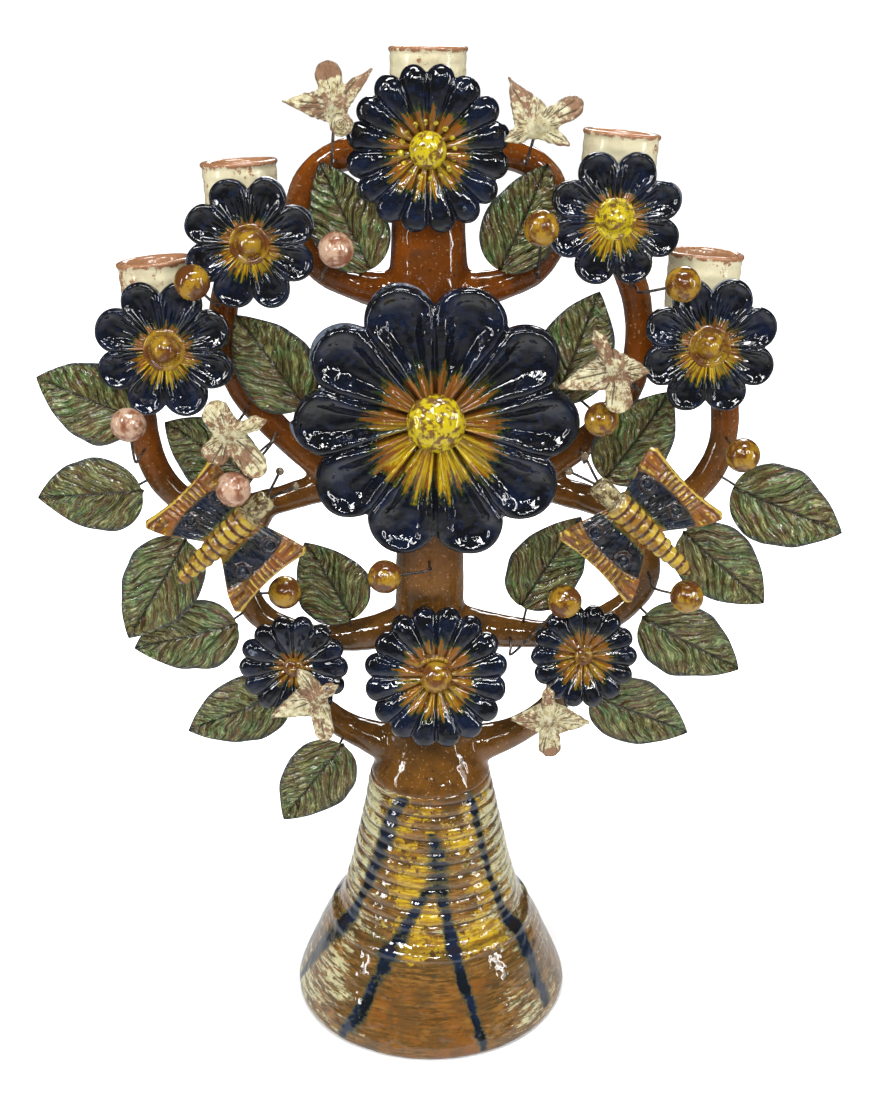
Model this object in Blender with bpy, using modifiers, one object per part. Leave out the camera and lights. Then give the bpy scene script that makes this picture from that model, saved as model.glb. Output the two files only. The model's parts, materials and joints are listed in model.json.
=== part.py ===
"""Clay tree of life: a glazed pottery candelabrum with a thrown hollow foot, a trunk and curling arms,
five candle cups, nine luted flowers, and leaves, birds, butterflies and berries on wire stems.
Metres, +Z up, the tree's front faces -Y. The origin is the middle of the foot's underside."""

import math

import bmesh
import bpy
from mathutils import Matrix, Vector

# Overall sizes.
HEIGHT = 0.580
SPREAD = 0.466
FOOT_H = 0.153
FOOT_R = 0.0865
FOOT_TOP_R = 0.0375
FOOT_WALL = 0.006

# Clay body.
TRUNK_R = 0.0205
ARM_R = 0.0085
BRANCH_R = 0.0112
GAP = 0.0003

# Candle cups.
CUP_R = 0.021
CUP_BORE_R = 0.016
CUP_H = 0.040
CUP_FLOOR = 0.009

# Pieces on wires, and luted flowers.
WIRE_R = 0.0008
LEAF_T = 0.0040
BERRY_R = 0.0095
FLOWER_T = 0.0105
BIG_FLOWER_R = 0.060
BIG_FLOWER_K = 1.75
PETAL_NOTCH = 0.13
DOME_FLAT = 0.62
BIRD_R = 0.0068
BIRD_STRETCH = 1.45
WING_T = 0.0030
BUTTERFLY_R = 0.0070
BUTTERFLY_RINGS = 5
BEAD_R = 0.0022
LEAF_BELLY = 0.42
LEAF_GRIP = 0.12
BUTTERFLY_GRIP = 0.36

# A wire runs straight off its arm first: past the flowers' layer for a piece that is far forward.
FAR_FORWARD = 0.020
WIRE_LEAD = 0.002
WIRE_SAG = 0.12

# How finely round things are faceted.
FOOT_STEPS = 30
TRUNK_STEPS = 24
CUP_STEPS = 20
SHARP_ANGLE = math.radians(40)

# The upper ring's widest place stays this far off the walls of the upper cups.
RING_CLEARANCE = 0.0015

# Depths, from the front of the cups forward. Each layer clears the one behind it.
LEAF_Y = -(ARM_R + 0.0035)
FLOWER_Y = -(CUP_R + 0.0025)
BERRY_Y = FLOWER_Y - FLOWER_T - 0.0105
WING_Y = FLOWER_Y - FLOWER_T - 0.0125
BIRD_Y = FLOWER_Y - FLOWER_T - 0.0175
WIRE_TURN_Y = FLOWER_Y - FLOWER_T

# The layout below was drawn for these sizes, so it stretches with the sizes above.
DRAWN_HEIGHT = 0.580
DRAWN_SPREAD = 0.466
DRAWN_FOOT_H = 0.153
DRAWN_FOOT_R = 0.0865
DRAWN_FOOT_TOP_R = 0.0375
DRAWN_FOOT_WALL = 0.006
DRAWN_RING_REACH = 0.070
K_X = SPREAD / DRAWN_SPREAD
K_Z = (HEIGHT - FOOT_H) / (DRAWN_HEIGHT - DRAWN_FOOT_H)
K = min(K_X, K_Z)

# Centre lines of the arms in millimetres, as x and z.
RING = [(15, 528), (44, 525), (62, 516), (70, 499), (69, 480), (58, 463), (40, 455), (15, 450)]
INNER_LEFT = [
    (-12, 328), (-46, 340), (-68, 354), (-89, 374), (-105, 393), (-114, 416), (-115, 440), (-109, 463),
]
INNER_RIGHT = [
    (12, 328), (52, 341), (76, 354), (98, 372), (111, 391), (118, 414), (117, 443), (108, 470),
]
OUTER_LEFT = [
    (-44, 340), (-66, 336), (-90, 329), (-114, 323), (-136, 325), (-153, 338), (-162, 357), (-165, 380),
    (-160, 405),
]
OUTER_RIGHT = [
    (50, 340), (72, 336), (96, 329), (118, 323), (139, 325), (156, 337), (167, 355), (170, 379), (163, 408),
]
LOOP_LEFT = [
    (-96, 327), (-106, 308), (-111, 286), (-108, 266), (-95, 251), (-70, 242), (-42, 244), (-14, 250),
]
LOOP_RIGHT = [
    (100, 327), (119, 310), (129, 290), (124, 270), (105, 254), (76, 245), (47, 246), (14, 251),
]
BOTTOM_LEFT = [(-14, 168), (-36, 175), (-58, 187), (-77, 205), (-86, 225), (-85, 246)]
BOTTOM_RIGHT = [(14, 168), (40, 174), (62, 185), (81, 204), (93, 226), (96, 250)]

# Cups: x and z of the foot of the cup in millimetres, and the outward lean in degrees.
CUPS = {
    "cup_top": (0, 540, 0.0),
    "cup_upper_left": (-101, 482, -2.5),
    "cup_upper_right": (101, 497, 5.0),
    "cup_outer_left": (-149, 429, -4.5),
    "cup_outer_right": (151, 433, 3.5),
}

# Flowers: x, z, radius in millimetres, petals, sides per petal, ball radius, boss x, boss z, boss radius,
# then the upward nod in degrees and the extra depth forward in millimetres.
FLOWERS = {
    "flower_centre": (4, 384, 79, 10, 6, 15.0, 2, 386, 15, 0, 0),
    "flower_top": (0, 529, 43, 16, 3, 10.0, 1, 515, 9, 0, 0),
    "flower_upper_left": (-95, 481, 36, 8, 4, 8.5, -105, 466, 6, 0, 0),
    "flower_upper_right": (99, 494, 36, 8, 4, 8.5, 107, 477, 6, 0, 0),
    "flower_outer_left": (-144, 424, 39, 8, 4, 9.0, -156, 411, 6, 0, 0),
    "flower_outer_right": (153, 426, 38, 8, 4, 9.0, 162, 411, 6, 0, 0),
    "flower_bottom": (4, 232, 42, 16, 3, 9.5, 2, 232, 12, 14, 10),
    "flower_lower_left": (-80, 235, 32, 14, 3, 5.0, -78, 243, 6, 0, 0),
    "flower_lower_right": (90, 243, 31, 14, 3, 4.5, 89, 246, 6, 10, 4),
}

# Leaves: arm, base x and z, tip x and z, width, all in millimetres, then base and tip depth forward.
LEAVES = {
    "leaf_01": ("outer_left", -164, 382, -219, 406, 46, 2, 4),
    "leaf_02": ("outer_left", -164, 339, -233, 327, 44, 0, -24),
    "leaf_03": ("outer_left", -140, 312, -178, 250, 44, 8, 8),
    "leaf_04": ("loop_left", -114, 256, -177, 240, 44, 0, 0),
    "leaf_05": ("bottom_left", -86, 212, -147, 187, 42, 0, 4),
    "leaf_06": ("bottom_left", -53, 178, -91, 127, 42, 2, 6),
    "leaf_07": ("inner_left", -101, 346, -150, 379, 43, 0, 0),
    "leaf_08": ("inner_left", -70, 389, -107, 440, 44, 0, 0),
    "leaf_09": ("loop_left", -46, 260, -73, 307, 42, 0, 0),
    "leaf_10": ("ring_left", -32, 465, -58, 522, 40, 0, 0),
    "leaf_11": ("ring_right", 39, 465, 64, 521, 40, 0, 0),
    "leaf_12": ("inner_right", 71, 392, 94, 453, 44, 0, 0),
    "leaf_13": ("outer_right", 101, 346, 137, 397, 42, 0, 0),
    "leaf_14": ("outer_right", 174, 342, 233, 321, 46, 4, 24),
    "leaf_15": ("outer_right", 146, 317, 196, 272, 42, 8, 8),
    "leaf_16": ("loop_right", 126, 261, 186, 226, 44, 0, 0),
    "leaf_17": ("bottom_right", 97, 214, 156, 188, 42, 8, 8),
    "leaf_18": ("loop_right", 54, 268, 88, 323, 42, 0, 0),
}

# Berries: arm, x and z, depth forward of the berry layer, in millimetres.
BERRIES = {
    "berry_01": ("ring_left", -48, 480, 0),
    "berry_02": ("ring_right", 59, 491, 0),
    "berry_03": ("inner_left", -124, 463, 0),
    "berry_04": ("inner_right", 134, 462, 0),
    "berry_05": ("outer_left", -163, 386, 0),
    "berry_06": ("outer_right", 172, 369, 0),
    "berry_07": ("inner_left", -105, 355, 18),
    "berry_08": ("inner_right", 94, 389, 0),
    "berry_09": ("loop_left", -83, 284, -12),
    "berry_10": ("loop_right", 146, 286, 0),
    "berry_11": ("trunk", -25, 298, 0),
    "berry_12": ("loop_right", 77, 283, 0),
}

# Birds: arm, body x and z, then head, first wing, second wing and tail as x and z from the body, then
# depth forward of the bird layer.
BIRDS = {
    "bird_01": ("ring_left", -46, 552, (3, -9), (-24, 2), (17, 16), (-4, 19), 0),
    "bird_02": ("ring_right", 55, 542, (-12, -5), (-13, 21), (15, -8), (20, 11), 0),
    "bird_03": ("inner_left", -106, 386, (17, 7), (-9, 14), (15, -21), (-10, -14), 10),
    "bird_04": ("inner_right", 99, 419, (-11, 19), (-26, -9), (16, -1), (3, -21), 4),
    "bird_05": ("bottom_left", -64, 230, (8, 6), (-24, -12), (-9, 15), (4, -25), 6),
    "bird_06": ("bottom_right", 69, 214, (-1, 19), (-19, -1), (21, -2), (1, -21), 2),
}

# Butterflies: arm, head x and z, tail x and z, in millimetres.
BUTTERFLIES = {
    "butterfly_left": ("outer_left", -88, 346, -141, 296),
    "butterfly_right": ("outer_right", 92, 354, 146, 301),
}

# Where a wire leaves its arm, where that isn't the place nearest to the piece.
ROOTS = {
    "berry_01": (-57, 464),
    "berry_02": (58, 464),
    "berry_03": (-113, 449),
    "berry_05": (-163, 362),
    "berry_08": (86, 363),
    "berry_12": (48, 246),
    "bird_01": (-50, 523),
    "bird_02": (51, 523),
    "bird_04": (115, 402),
    "bird_05": (-65, 192),
}

# One wing on the side of +w, as shares of the body's length from the head and millimetres across.
WING = [(0.20, 3), (0.08, 26), (0.06, 34), (0.12, 38), (0.50, 34), (0.82, 38), (0.88, 34), (0.60, 3)]

COLOURS = {
    "base_glaze": (0.62, 0.50, 0.30),
    "brown_glaze": (0.42, 0.15, 0.05),
    "cream_glaze": (0.80, 0.74, 0.62),
    "cobalt_glaze": (0.02, 0.04, 0.13),
    "green_glaze": (0.13, 0.24, 0.08),
    "amber_glaze": (0.45, 0.20, 0.04),
    "bird_slip": (0.72, 0.62, 0.50),
    "butterfly_glaze": (0.50, 0.34, 0.06),
}


def clear_scene():
    for obj in list(bpy.data.objects):
        bpy.data.objects.remove(obj, do_unlink=True)


def new_collection(name):
    collection = bpy.data.collections.new(name)
    bpy.context.scene.collection.children.link(collection)
    return collection


def glaze(slot):
    material = bpy.data.materials.get(slot)
    if material is None:
        material = bpy.data.materials.new(slot)
        material.use_nodes = True
        shader = material.node_tree.nodes["Principled BSDF"]
        shader.inputs["Base Color"].default_value = (*COLOURS[slot], 1.0)
        shader.inputs["Roughness"].default_value = 0.18
        material.diffuse_color = (*COLOURS[slot], 1.0)
    return material


def spot(x, z, y=0.0):
    """A layout point in millimetres, stretched to the sizes above. y is already in metres."""
    return Vector((x * K_X / 1000, y, FOOT_H + (z - 1000 * DRAWN_FOOT_H) * K_Z / 1000))


def to_object(name, bm):
    bmesh.ops.recalc_face_normals(bm, faces=bm.faces)
    mesh = bpy.data.meshes.new(name)
    bm.to_mesh(mesh)
    bm.free()
    obj = bpy.data.objects.new(name, mesh)
    SHOP.objects.link(obj)
    return obj


def finish(obj, slot, origin, lean=0.0):
    """Glazes a piece, puts its origin where it is fixed or hinged, and moves it to the tree."""
    turn = Matrix.Rotation(lean, 4, "Y")
    obj.data.transform((Matrix.Translation(origin) @ turn).inverted())
    obj.location = origin
    obj.rotation_euler = (0, lean, 0)
    obj.data.materials.clear()
    obj.data.materials.append(glaze(slot))
    obj.data.shade_smooth()
    obj.data.set_sharp_from_angle(angle=SHARP_ANGLE)
    SHOP.objects.unlink(obj)
    TREE.objects.link(obj)


def bake(obj):
    """Applies what an object's modifiers make of it."""
    bpy.context.view_layer.update()
    graph = bpy.context.evaluated_depsgraph_get()
    mesh = bpy.data.meshes.new_from_object(obj.evaluated_get(graph))
    obj.modifiers.clear()
    obj.data = mesh
    return obj


def lathe(name, profile, steps):
    """Turns a closed outline of (radius, height) points about Z. It runs down the outer side."""
    bm = bmesh.new()
    points = [bm.verts.new((r, 0.0, z)) for r, z in reversed(profile)]
    for a, b in zip(points, points[1:] + points[:1], strict=True):
        if a.co.x > 0 or b.co.x > 0:
            bm.edges.new((a, b))
    mesh = bpy.data.meshes.new(name)
    bm.to_mesh(mesh)
    bm.free()
    obj = bpy.data.objects.new(name, mesh)
    SHOP.objects.link(obj)
    screw = obj.modifiers.new("turn", "SCREW")
    screw.steps = steps
    screw.render_steps = steps
    screw.use_merge_vertices = True
    screw.merge_threshold = 0.00001
    return bake(obj)


def smooth_path(points, per):
    """Catmull-Rom points through a path, with per points to each stretch."""
    ends = [2 * points[0] - points[1], *points, 2 * points[-1] - points[-2]]
    found = []
    for i in range(1, len(ends) - 2):
        a, b, c, d = ends[i - 1 : i + 3]
        for j in range(per):
            t = j / per
            square = (2 * a - 5 * b + 4 * c - d) * t**2
            cube = (3 * b - a - 3 * c + d) * t**3
            found.append(0.5 * (2 * b + (c - a) * t + square + cube))
    return [*found, points[-1]]


def mesh_of(name, curve):
    """Makes a curve a mesh with its caps welded on, and takes the curve away."""
    shape = bpy.data.objects.new(name, curve)
    SHOP.objects.link(shape)
    bpy.context.view_layer.update()
    graph = bpy.context.evaluated_depsgraph_get()
    mesh = bpy.data.meshes.new_from_object(shape.evaluated_get(graph))
    bpy.data.objects.remove(shape, do_unlink=True)
    bm = bmesh.new()
    bm.from_mesh(mesh)
    bpy.data.meshes.remove(mesh)
    bmesh.ops.remove_doubles(bm, verts=bm.verts, dist=1e-6)
    return to_object(name, bm)


def tube(name, points, radii):
    """A closed round tube along points, as a mesh."""
    curve = bpy.data.curves.new(name, "CURVE")
    curve.dimensions = "3D"
    curve.bevel_depth = 1.0
    curve.bevel_resolution = 2
    curve.use_fill_caps = True
    spline = curve.splines.new("POLY")
    spline.points.add(len(points) - 1)
    for knot, point, radius in zip(spline.points, points, radii, strict=True):
        knot.co = (*point, 1.0)
        knot.radius = radius
    return mesh_of(name, curve)


def combine(obj, other, operation):
    """Applies one exact Boolean and takes the other object away."""
    modifier = obj.modifiers.new(operation, "BOOLEAN")
    modifier.operation = operation
    modifier.solver = "EXACT"
    modifier.object = other
    bake(obj)
    bpy.data.objects.remove(other, do_unlink=True)
    return obj


def union(obj, *others):
    for other in others:
        combine(obj, other, "UNION")
    return obj


def ball(name, centre, radius, turns=10, rows=6, stretch=(1, 1, 1), heading=None):
    bm = bmesh.new()
    bmesh.ops.create_uvsphere(bm, u_segments=turns, v_segments=rows, radius=radius)
    bmesh.ops.scale(bm, vec=stretch, verts=bm.verts)
    if heading is not None:
        turn = Vector((0, 0, 1)).rotation_difference(heading).to_matrix()
        bmesh.ops.rotate(bm, matrix=turn, cent=(0, 0, 0), verts=bm.verts)
    bmesh.ops.translate(bm, vec=centre, verts=bm.verts)
    return to_object(name, bm)


def plate(name, outline, thickness):
    """A flat plate facing -Y, from a ring of points that share one depth."""
    curve = bpy.data.curves.new(name, "CURVE")
    curve.dimensions = "2D"
    curve.fill_mode = "BOTH"
    curve.extrude = thickness / 2
    spline = curve.splines.new("POLY")
    spline.points.add(len(outline) - 1)
    for knot, point in zip(spline.points, outline, strict=True):
        knot.co = (point.x, point.z, 0.0, 1.0)
    spline.use_cyclic_u = True
    flat = mesh_of(name, curve)
    stand = Matrix.Rotation(math.radians(90), 4, "X")
    flat.data.transform(Matrix.Translation((0, outline[0].y, 0)) @ stand)
    return flat


def foot_profile():
    """The thrown foot's outline: a plain skirt, then throwing ridges, then the hollow inside."""
    k = FOOT_H / DRAWN_FOOT_H
    wide = (FOOT_R - DRAWN_FOOT_R, FOOT_TOP_R - DRAWN_FOOT_TOP_R)
    top = 1000 * DRAWN_FOOT_H
    outer = [(83.5, 0), (86.5, 3), (86, 7), (82, 17), (76, 31), (70, 45), (61, 60), (54.5, 70), (54, 75)]
    ridges = [(52.5, 77), (52.8, 82), (50, 86), (50.2, 91), (47.4, 95), (47.8, 100), (45, 104), (45.2, 109)]
    upper = [(42.6, 113), (43, 118), (41, 122), (41.3, 127), (39.4, 131), (39.8, 136), (38, 140), (38.3, 146)]
    walls = []
    for r, z in outer + ridges + upper + [(37.5, top)]:
        share = z / top
        walls.append((r / 1000 + wide[0] * (1 - share) + wide[1] * share, z * k / 1000))
    inside = [(0, top), (0, 141), (25, 139), (34, 120), (42, 90), (48, 66), (62, 45), (74, 22), (79, 0)]
    hollow = []
    for r, z in inside:
        share = z / top
        shift = wide[0] * (1 - share) + wide[1] * share - (FOOT_WALL - DRAWN_FOOT_WALL)
        hollow.append((0.0 if r == 0 else r / 1000 + shift, z * k / 1000))
    return walls + hollow


def trunk_profile(extra):
    """The trunk, flaring down to the foot. With extra it is that much fatter all round."""
    low = FOOT_H + GAP
    top = spot(0, 540).z - GAP
    belly = FOOT_TOP_R - TRUNK_R
    flare = [(0.94, 0), (0.71, 0.010), (0.41, 0.024), (0.15, 0.042), (0, 0.075)]
    side = [(TRUNK_R + belly * wide + extra, low + h * K_Z) for wide, h in flare]
    foot = (side[0][0], low - extra)
    return [(0, low - extra), foot, *side[1:], (TRUNK_R + extra, top + extra), (0, top + extra)]


def ring_stretch():
    """How much further or less than drawn the upper ring bulges, so that it stays clear of the upper cups."""
    upper = [abs(spot(*CUPS[cup][:2]).x) for cup in ("cup_upper_left", "cup_upper_right")]
    reach = min(upper) - CUP_R - ARM_R - RING_CLEARANCE
    return (reach - TRUNK_R) / (DRAWN_RING_REACH * K_X - TRUNK_R)


def spot_by(arm, x, z, y=0.0):
    """A layout point that follows its arm: what hangs on the upper ring moves in and out with it."""
    point = spot(x, z, y)
    if arm[:4] == "ring" and abs(point.x) > TRUNK_R:
        point.x = math.copysign(TRUNK_R + (abs(point.x) - TRUNK_R) * ring_stretch(), x)
    return point


def arm_path(arm, outline, side=1):
    return smooth_path([spot_by(arm, side * x, z) for x, z in outline], 2)


def cup_axis(cup):
    lean = math.radians(CUPS[cup][2])
    return Vector((math.sin(lean), 0, math.cos(lean)))


def cup_arm_path(outline, cup):
    """An arm that ends square against the foot of its cup."""
    foot = spot(*CUPS[cup][:2])
    points = [spot(x, z) for x, z in outline] + [foot - cup_axis(cup) * 0.006]
    return [*smooth_path(points, 2), foot]


def radii_of(path, start, end=ARM_R, reach=5):
    """The start radius, easing to ARM_R over the first points, and to end over the last ones."""
    last = len(path) - 1
    found = []
    for i in range(len(path)):
        r = start + (ARM_R - start) * min(1.0, i / reach)
        r += (end - ARM_R) * max(0.0, 1 - (last - i) / reach)
        found.append(r)
    return found


def clearance(name):
    """A fatter copy of an arm or of the trunk, to cut whatever meets it."""
    if name == "trunk":
        return lathe("cut", trunk_profile(GAP), TRUNK_STEPS)
    path, radii = ARMS[name]
    return tube("cut", path, [r + GAP for r in radii])


def make_foot():
    finish(lathe("pedestal", foot_profile(), FOOT_STEPS), "base_glaze", Vector((0, 0, 0)))


def make_trunk():
    trunk = lathe("trunk", trunk_profile(0.0), TRUNK_STEPS)
    for side in ("ring_left", "ring_right"):
        union(trunk, tube("ring", *ARMS[side]))
    finish(trunk, "brown_glaze", Vector((0, 0, FOOT_H + GAP)))


def make_arms():
    for side in ("left", "right"):
        inner = tube(f"arm_inner_{side}", *ARMS[f"inner_{side}"])
        combine(inner, clearance("trunk"), "DIFFERENCE")
        finish(inner, "brown_glaze", ARMS[f"inner_{side}"][0][0])
        outer = tube(f"arm_outer_{side}", *ARMS[f"outer_{side}"])
        combine(outer, clearance("trunk"), "DIFFERENCE")
        combine(outer, clearance(f"inner_{side}"), "DIFFERENCE")
        finish(outer, "brown_glaze", ARMS[f"outer_{side}"][0][0])
        lower = tube(f"arm_lower_{side}", *ARMS[f"loop_{side}"])
        union(lower, tube("bottom", *ARMS[f"bottom_{side}"]))
        combine(lower, clearance("trunk"), "DIFFERENCE")
        combine(lower, clearance(f"outer_{side}"), "DIFFERENCE")
        finish(lower, "brown_glaze", ARMS[f"bottom_{side}"][0][0])


def make_cups():
    r, bore, h, floor = CUP_R, CUP_BORE_R, CUP_H, CUP_FLOOR
    outline = [
        (0, GAP), (r - 0.004, GAP), (r - 0.0015, 0.004), (r - 0.0008, h * 0.6), (r, h - 0.003),
        (r - 0.0012, h), (bore + 0.0012, h), (bore, h - 0.002), (bore - 0.0006, floor), (0, floor),
    ]
    for name, (x, z, lean) in CUPS.items():
        cup = lathe(name, outline, CUP_STEPS)
        foot = spot(x, z)
        turn = math.radians(lean)
        cup.data.transform(Matrix.Translation(foot) @ Matrix.Rotation(turn, 4, "Y"))
        finish(cup, "cream_glaze", foot, turn)


def petal_height(share, cupped):
    """The height of a petal's front across its width: 0 at the groove, 0.5 in its middle."""
    across = 1 - abs(2 * share - 1)
    if cupped:
        return 0.30 if across < 0.05 else (1.0 if across < 0.6 else (0.78 if across < 0.9 else 0.62))
    return 0.35 + 0.65 * math.sin(math.pi * share)


def flower_blank(name, radius, petals, sides, thick):
    """A scalloped disc facing -Y, made from a sphere: rows 0 to 3 are its front, the last two its back."""
    bm = bmesh.new()
    count = petals * sides
    bmesh.ops.create_uvsphere(bm, u_segments=count, v_segments=5, radius=1.0)
    reach = [0.0, 0.36, 0.76, 1.0, 0.80, 0.0]
    for v in bm.verts:
        row = round(math.degrees(math.acos(max(-1.0, min(1.0, v.co.z)))) / 36)
        step = round(math.atan2(v.co.y, v.co.x) / math.tau * count) % count
        share = (step % sides) / sides
        turn = math.tau * (step / count) + math.pi / 2
        crest = petal_height(share, sides % 2 == 0)
        out = radius * reach[row]
        if 1 < row < 5:
            out *= 1 - PETAL_NOTCH * (1 - math.sin(math.pi * share)) * (0.4 if row == 2 else 1.0)
        rise = [0.50, 0.50, 0.50 + 0.50 * crest, 0.20 + 0.62 * crest, 0.0, 0.0][row]
        v.co = Vector((out * math.cos(turn), -thick * rise, out * math.sin(turn)))
    return to_object(name, bm)


def make_flowers():
    ahead = Vector((0, -1, 0))
    for name, (x, z, size, petals, sides, dome, bx, bz, br, nod, fore) in FLOWERS.items():
        radius = size * K / 1000
        thick = FLOWER_T * (BIG_FLOWER_K if size / 1000 > BIG_FLOWER_R else 1.0)
        flower = flower_blank(name, radius, petals, sides, thick)
        seat = ahead * (thick / 2)
        union(flower, ball("dome", seat, dome * K / 1000, 10, 6, (1, 1, DOME_FLAT), ahead))
        centre = spot(x, z, FLOWER_Y - fore / 1000)
        flower.data.transform(Matrix.Translation(centre) @ Matrix.Rotation(math.radians(-nod), 4, "X"))
        boss = [spot(bx, bz, -ARM_R / 2), spot(bx, bz, centre.y - thick / 5)]
        union(flower, tube("boss", boss, [br * K / 1000] * 2))
        for other in BOSS_CUTS[name]:
            combine(flower, clearance(other), "DIFFERENCE")
        finish(flower, "cobalt_glaze", centre)


def nearest(name, point):
    """The nearest point of an arm's centre line, the radius there and the line's direction."""
    if name == "trunk":
        return Vector((0, 0, point.z)), TRUNK_R, Vector((0, 0, 1))
    path, radii = ARMS[name]
    best = None
    for i in range(len(path) - 1):
        a, b = path[i], path[i + 1]
        t = max(0.0, min(1.0, (point - a).dot(b - a) / (b - a).length_squared))
        p = a.lerp(b, t)
        if best is None or (p - point).length < best[0]:
            best = ((p - point).length, p, radii[i] + (radii[i + 1] - radii[i]) * t, (b - a).normalized())
    return best[1:]


def root_of(name, arm, goal):
    """Where a piece's wire leaves its arm, and in which direction. It leaves forward for a far goal."""
    near = spot_by(arm, *ROOTS[name]) if name in ROOTS else goal
    foot, radius, along = nearest(arm, near)
    far = foot.y - goal.y > FAR_FORWARD
    out = Vector((0, -1, 0)) if far else goal - foot
    out -= along * out.dot(along)
    out.normalize()
    start = foot + out * (radius + GAP)
    return start, out * (start.y - WIRE_TURN_Y if far else WIRE_LEAD)


def hang(piece, slot, name, arm, goal):
    """Joins a piece to its wire, which ends inside it at goal, with its origin at the wire's root."""
    start, lead = root_of(name, arm, goal)
    first = start + lead
    bend = first.lerp(goal, 0.5) + Vector((0, WIRE_SAG * (goal.y - first.y), 0))
    union(piece, tube("wire", [start, first, bend, goal], [WIRE_R] * 4))
    finish(piece, slot, start)


def leaf_blade(name, base, along, half):
    """A pointed oval lens facing -Y: half is the vector from its middle line to its widest edge."""
    bm = bmesh.new()
    bmesh.ops.create_uvsphere(bm, u_segments=14, v_segments=4, radius=1.0)
    for v in bm.verts:
        turn = math.atan2(v.co.y, v.co.x)
        rho = math.hypot(v.co.x, v.co.y)
        share = 0.5 * (1 - math.cos(turn))
        sway = abs(math.sin(turn)) ** (0.62 + 1.25 * share) * (1.10 - 0.06 * share)
        sway = math.copysign(sway, math.sin(turn))
        share = LEAF_BELLY + rho * (share - LEAF_BELLY)
        v.co = base + along * share + half * (rho * sway) - Vector((0, v.co.z * LEAF_T / 2, 0))
    return to_object(name, bm)


def make_leaves():
    for name, (arm, bx, bz, tx, tz, width, fore, aft) in LEAVES.items():
        base = spot_by(arm, bx, bz, LEAF_Y - fore / 1000)
        tip = spot_by(arm, tx, tz, LEAF_Y - aft / 1000)
        along = (tip - base) * (K / K_X)
        half = along.cross(Vector((0, -1, 0))).normalized() * (width * K / 2000)
        hang(leaf_blade(name, base, along, half), "green_glaze", name, arm, base + along * LEAF_GRIP)


def make_berries():
    for name, (arm, x, z, fore) in BERRIES.items():
        centre = spot_by(arm, x, z, BERRY_Y - fore / 1000)
        hang(ball(name, centre, BERRY_R * K, 10, 6), "amber_glaze", name, arm, centre)


def vane(name, root, tip, spread, thickness):
    """A wing or a tail: a plate from root widening towards tip."""
    along = tip - root
    across = along.cross(Vector((0, 1, 0))).normalized() * spread
    outline = [root - across * 0.5, root + across * 0.5, tip - along * 0.25 + across, tip + across * 0.35,
               tip - across * 0.45, tip - along * 0.3 - across * 0.8]
    return plate(name, outline, thickness)


def make_birds():
    for name, (arm, x, z, head, wing_a, wing_b, tail, fore) in BIRDS.items():
        body = spot_by(arm, x, z, BIRD_Y - fore / 1000)
        parts = [Vector((dx * K / 1000, 0, dz * K / 1000)) for dx, dz in (head, wing_a, wing_b, tail)]
        axis = (parts[0] - parts[3]).normalized()
        size = BIRD_R * K
        bird = ball(name, body, size, 8, 6, (1, 1, BIRD_STRETCH), axis)
        face = body + parts[0].normalized() * max(parts[0].length, size * 1.5)
        tip = face + (face - body).normalized() * size * 1.15
        beak = tube("beak", [body, face, tip], [size * 0.75, size * 0.50, size * 0.10])
        union(bird, ball("head", face, size * 0.70, 8, 4), beak)
        thick = WING_T * K
        union(bird, vane("wing", body + parts[1] * 0.1, body + parts[1], size * 0.85, thick))
        union(bird, vane("wing", body + parts[2] * 0.1, body + parts[2], size * 0.85, thick * 1.1))
        union(bird, vane("tail", body + parts[3] * 0.1, body + parts[3], size * 0.75, thick * 1.2))
        hang(bird, "bird_slip", name, arm, body)


def ringed_body(name, length):
    """A tapering body with raised rings, standing on its head at the origin."""
    outline = [(0, 0), (0.75 * BUTTERFLY_R, 0.03 * length), (0.94 * BUTTERFLY_R, 0.11 * length)]
    step = 0.78 / BUTTERFLY_RINGS
    for ring in range(BUTTERFLY_RINGS):
        r = BUTTERFLY_R * (0.90 - 0.10 * ring)
        outline += [(0.90 * r, (0.15 + step * ring) * length), (1.08 * r, (0.22 + step * ring) * length)]
    outline += [(0.32 * BUTTERFLY_R, 0.97 * length), (0, length)]
    return lathe(name, outline, 8)


def make_butterflies():
    for name, (arm, hx, hz, tx, tz) in BUTTERFLIES.items():
        head = spot(hx, hz, WING_Y)
        along = (spot(tx, tz, WING_Y) - head) * (K / K_X)
        side = along.cross(Vector((0, -1, 0))).normalized()
        body = ringed_body(name, along.length)
        turn = Vector((0, 0, 1)).rotation_difference(along).to_matrix().to_4x4()
        body.data.transform(Matrix.Translation(head) @ turn)
        for way in (1, -1):
            shape = [head + along * s + side * (way * w * K / 1000) for s, w in WING]
            union(body, plate("wing", shape, WING_T))
            brow = head - along * 0.04 + side * (way * 0.002)
            end = head - along * 0.20 + side * (way * 0.006)
            union(body, tube("feeler", [head + along * 0.06, brow, end], [WIRE_R] * 3))
            union(body, ball("bead", end, BEAD_R, 6, 4))
        hang(body, "butterfly_glaze", name, arm, head + along * BUTTERFLY_GRIP)


# Which fattened arms trim the boss behind each flower.
BOSS_CUTS = {
    "flower_centre": ["trunk"],
    "flower_top": ["trunk"],
    "flower_upper_left": ["inner_left"],
    "flower_upper_right": ["inner_right"],
    "flower_outer_left": ["outer_left"],
    "flower_outer_right": ["outer_right"],
    "flower_bottom": ["trunk"],
    "flower_lower_left": ["loop_left", "bottom_left"],
    "flower_lower_right": ["loop_right", "bottom_right"],
}

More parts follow.
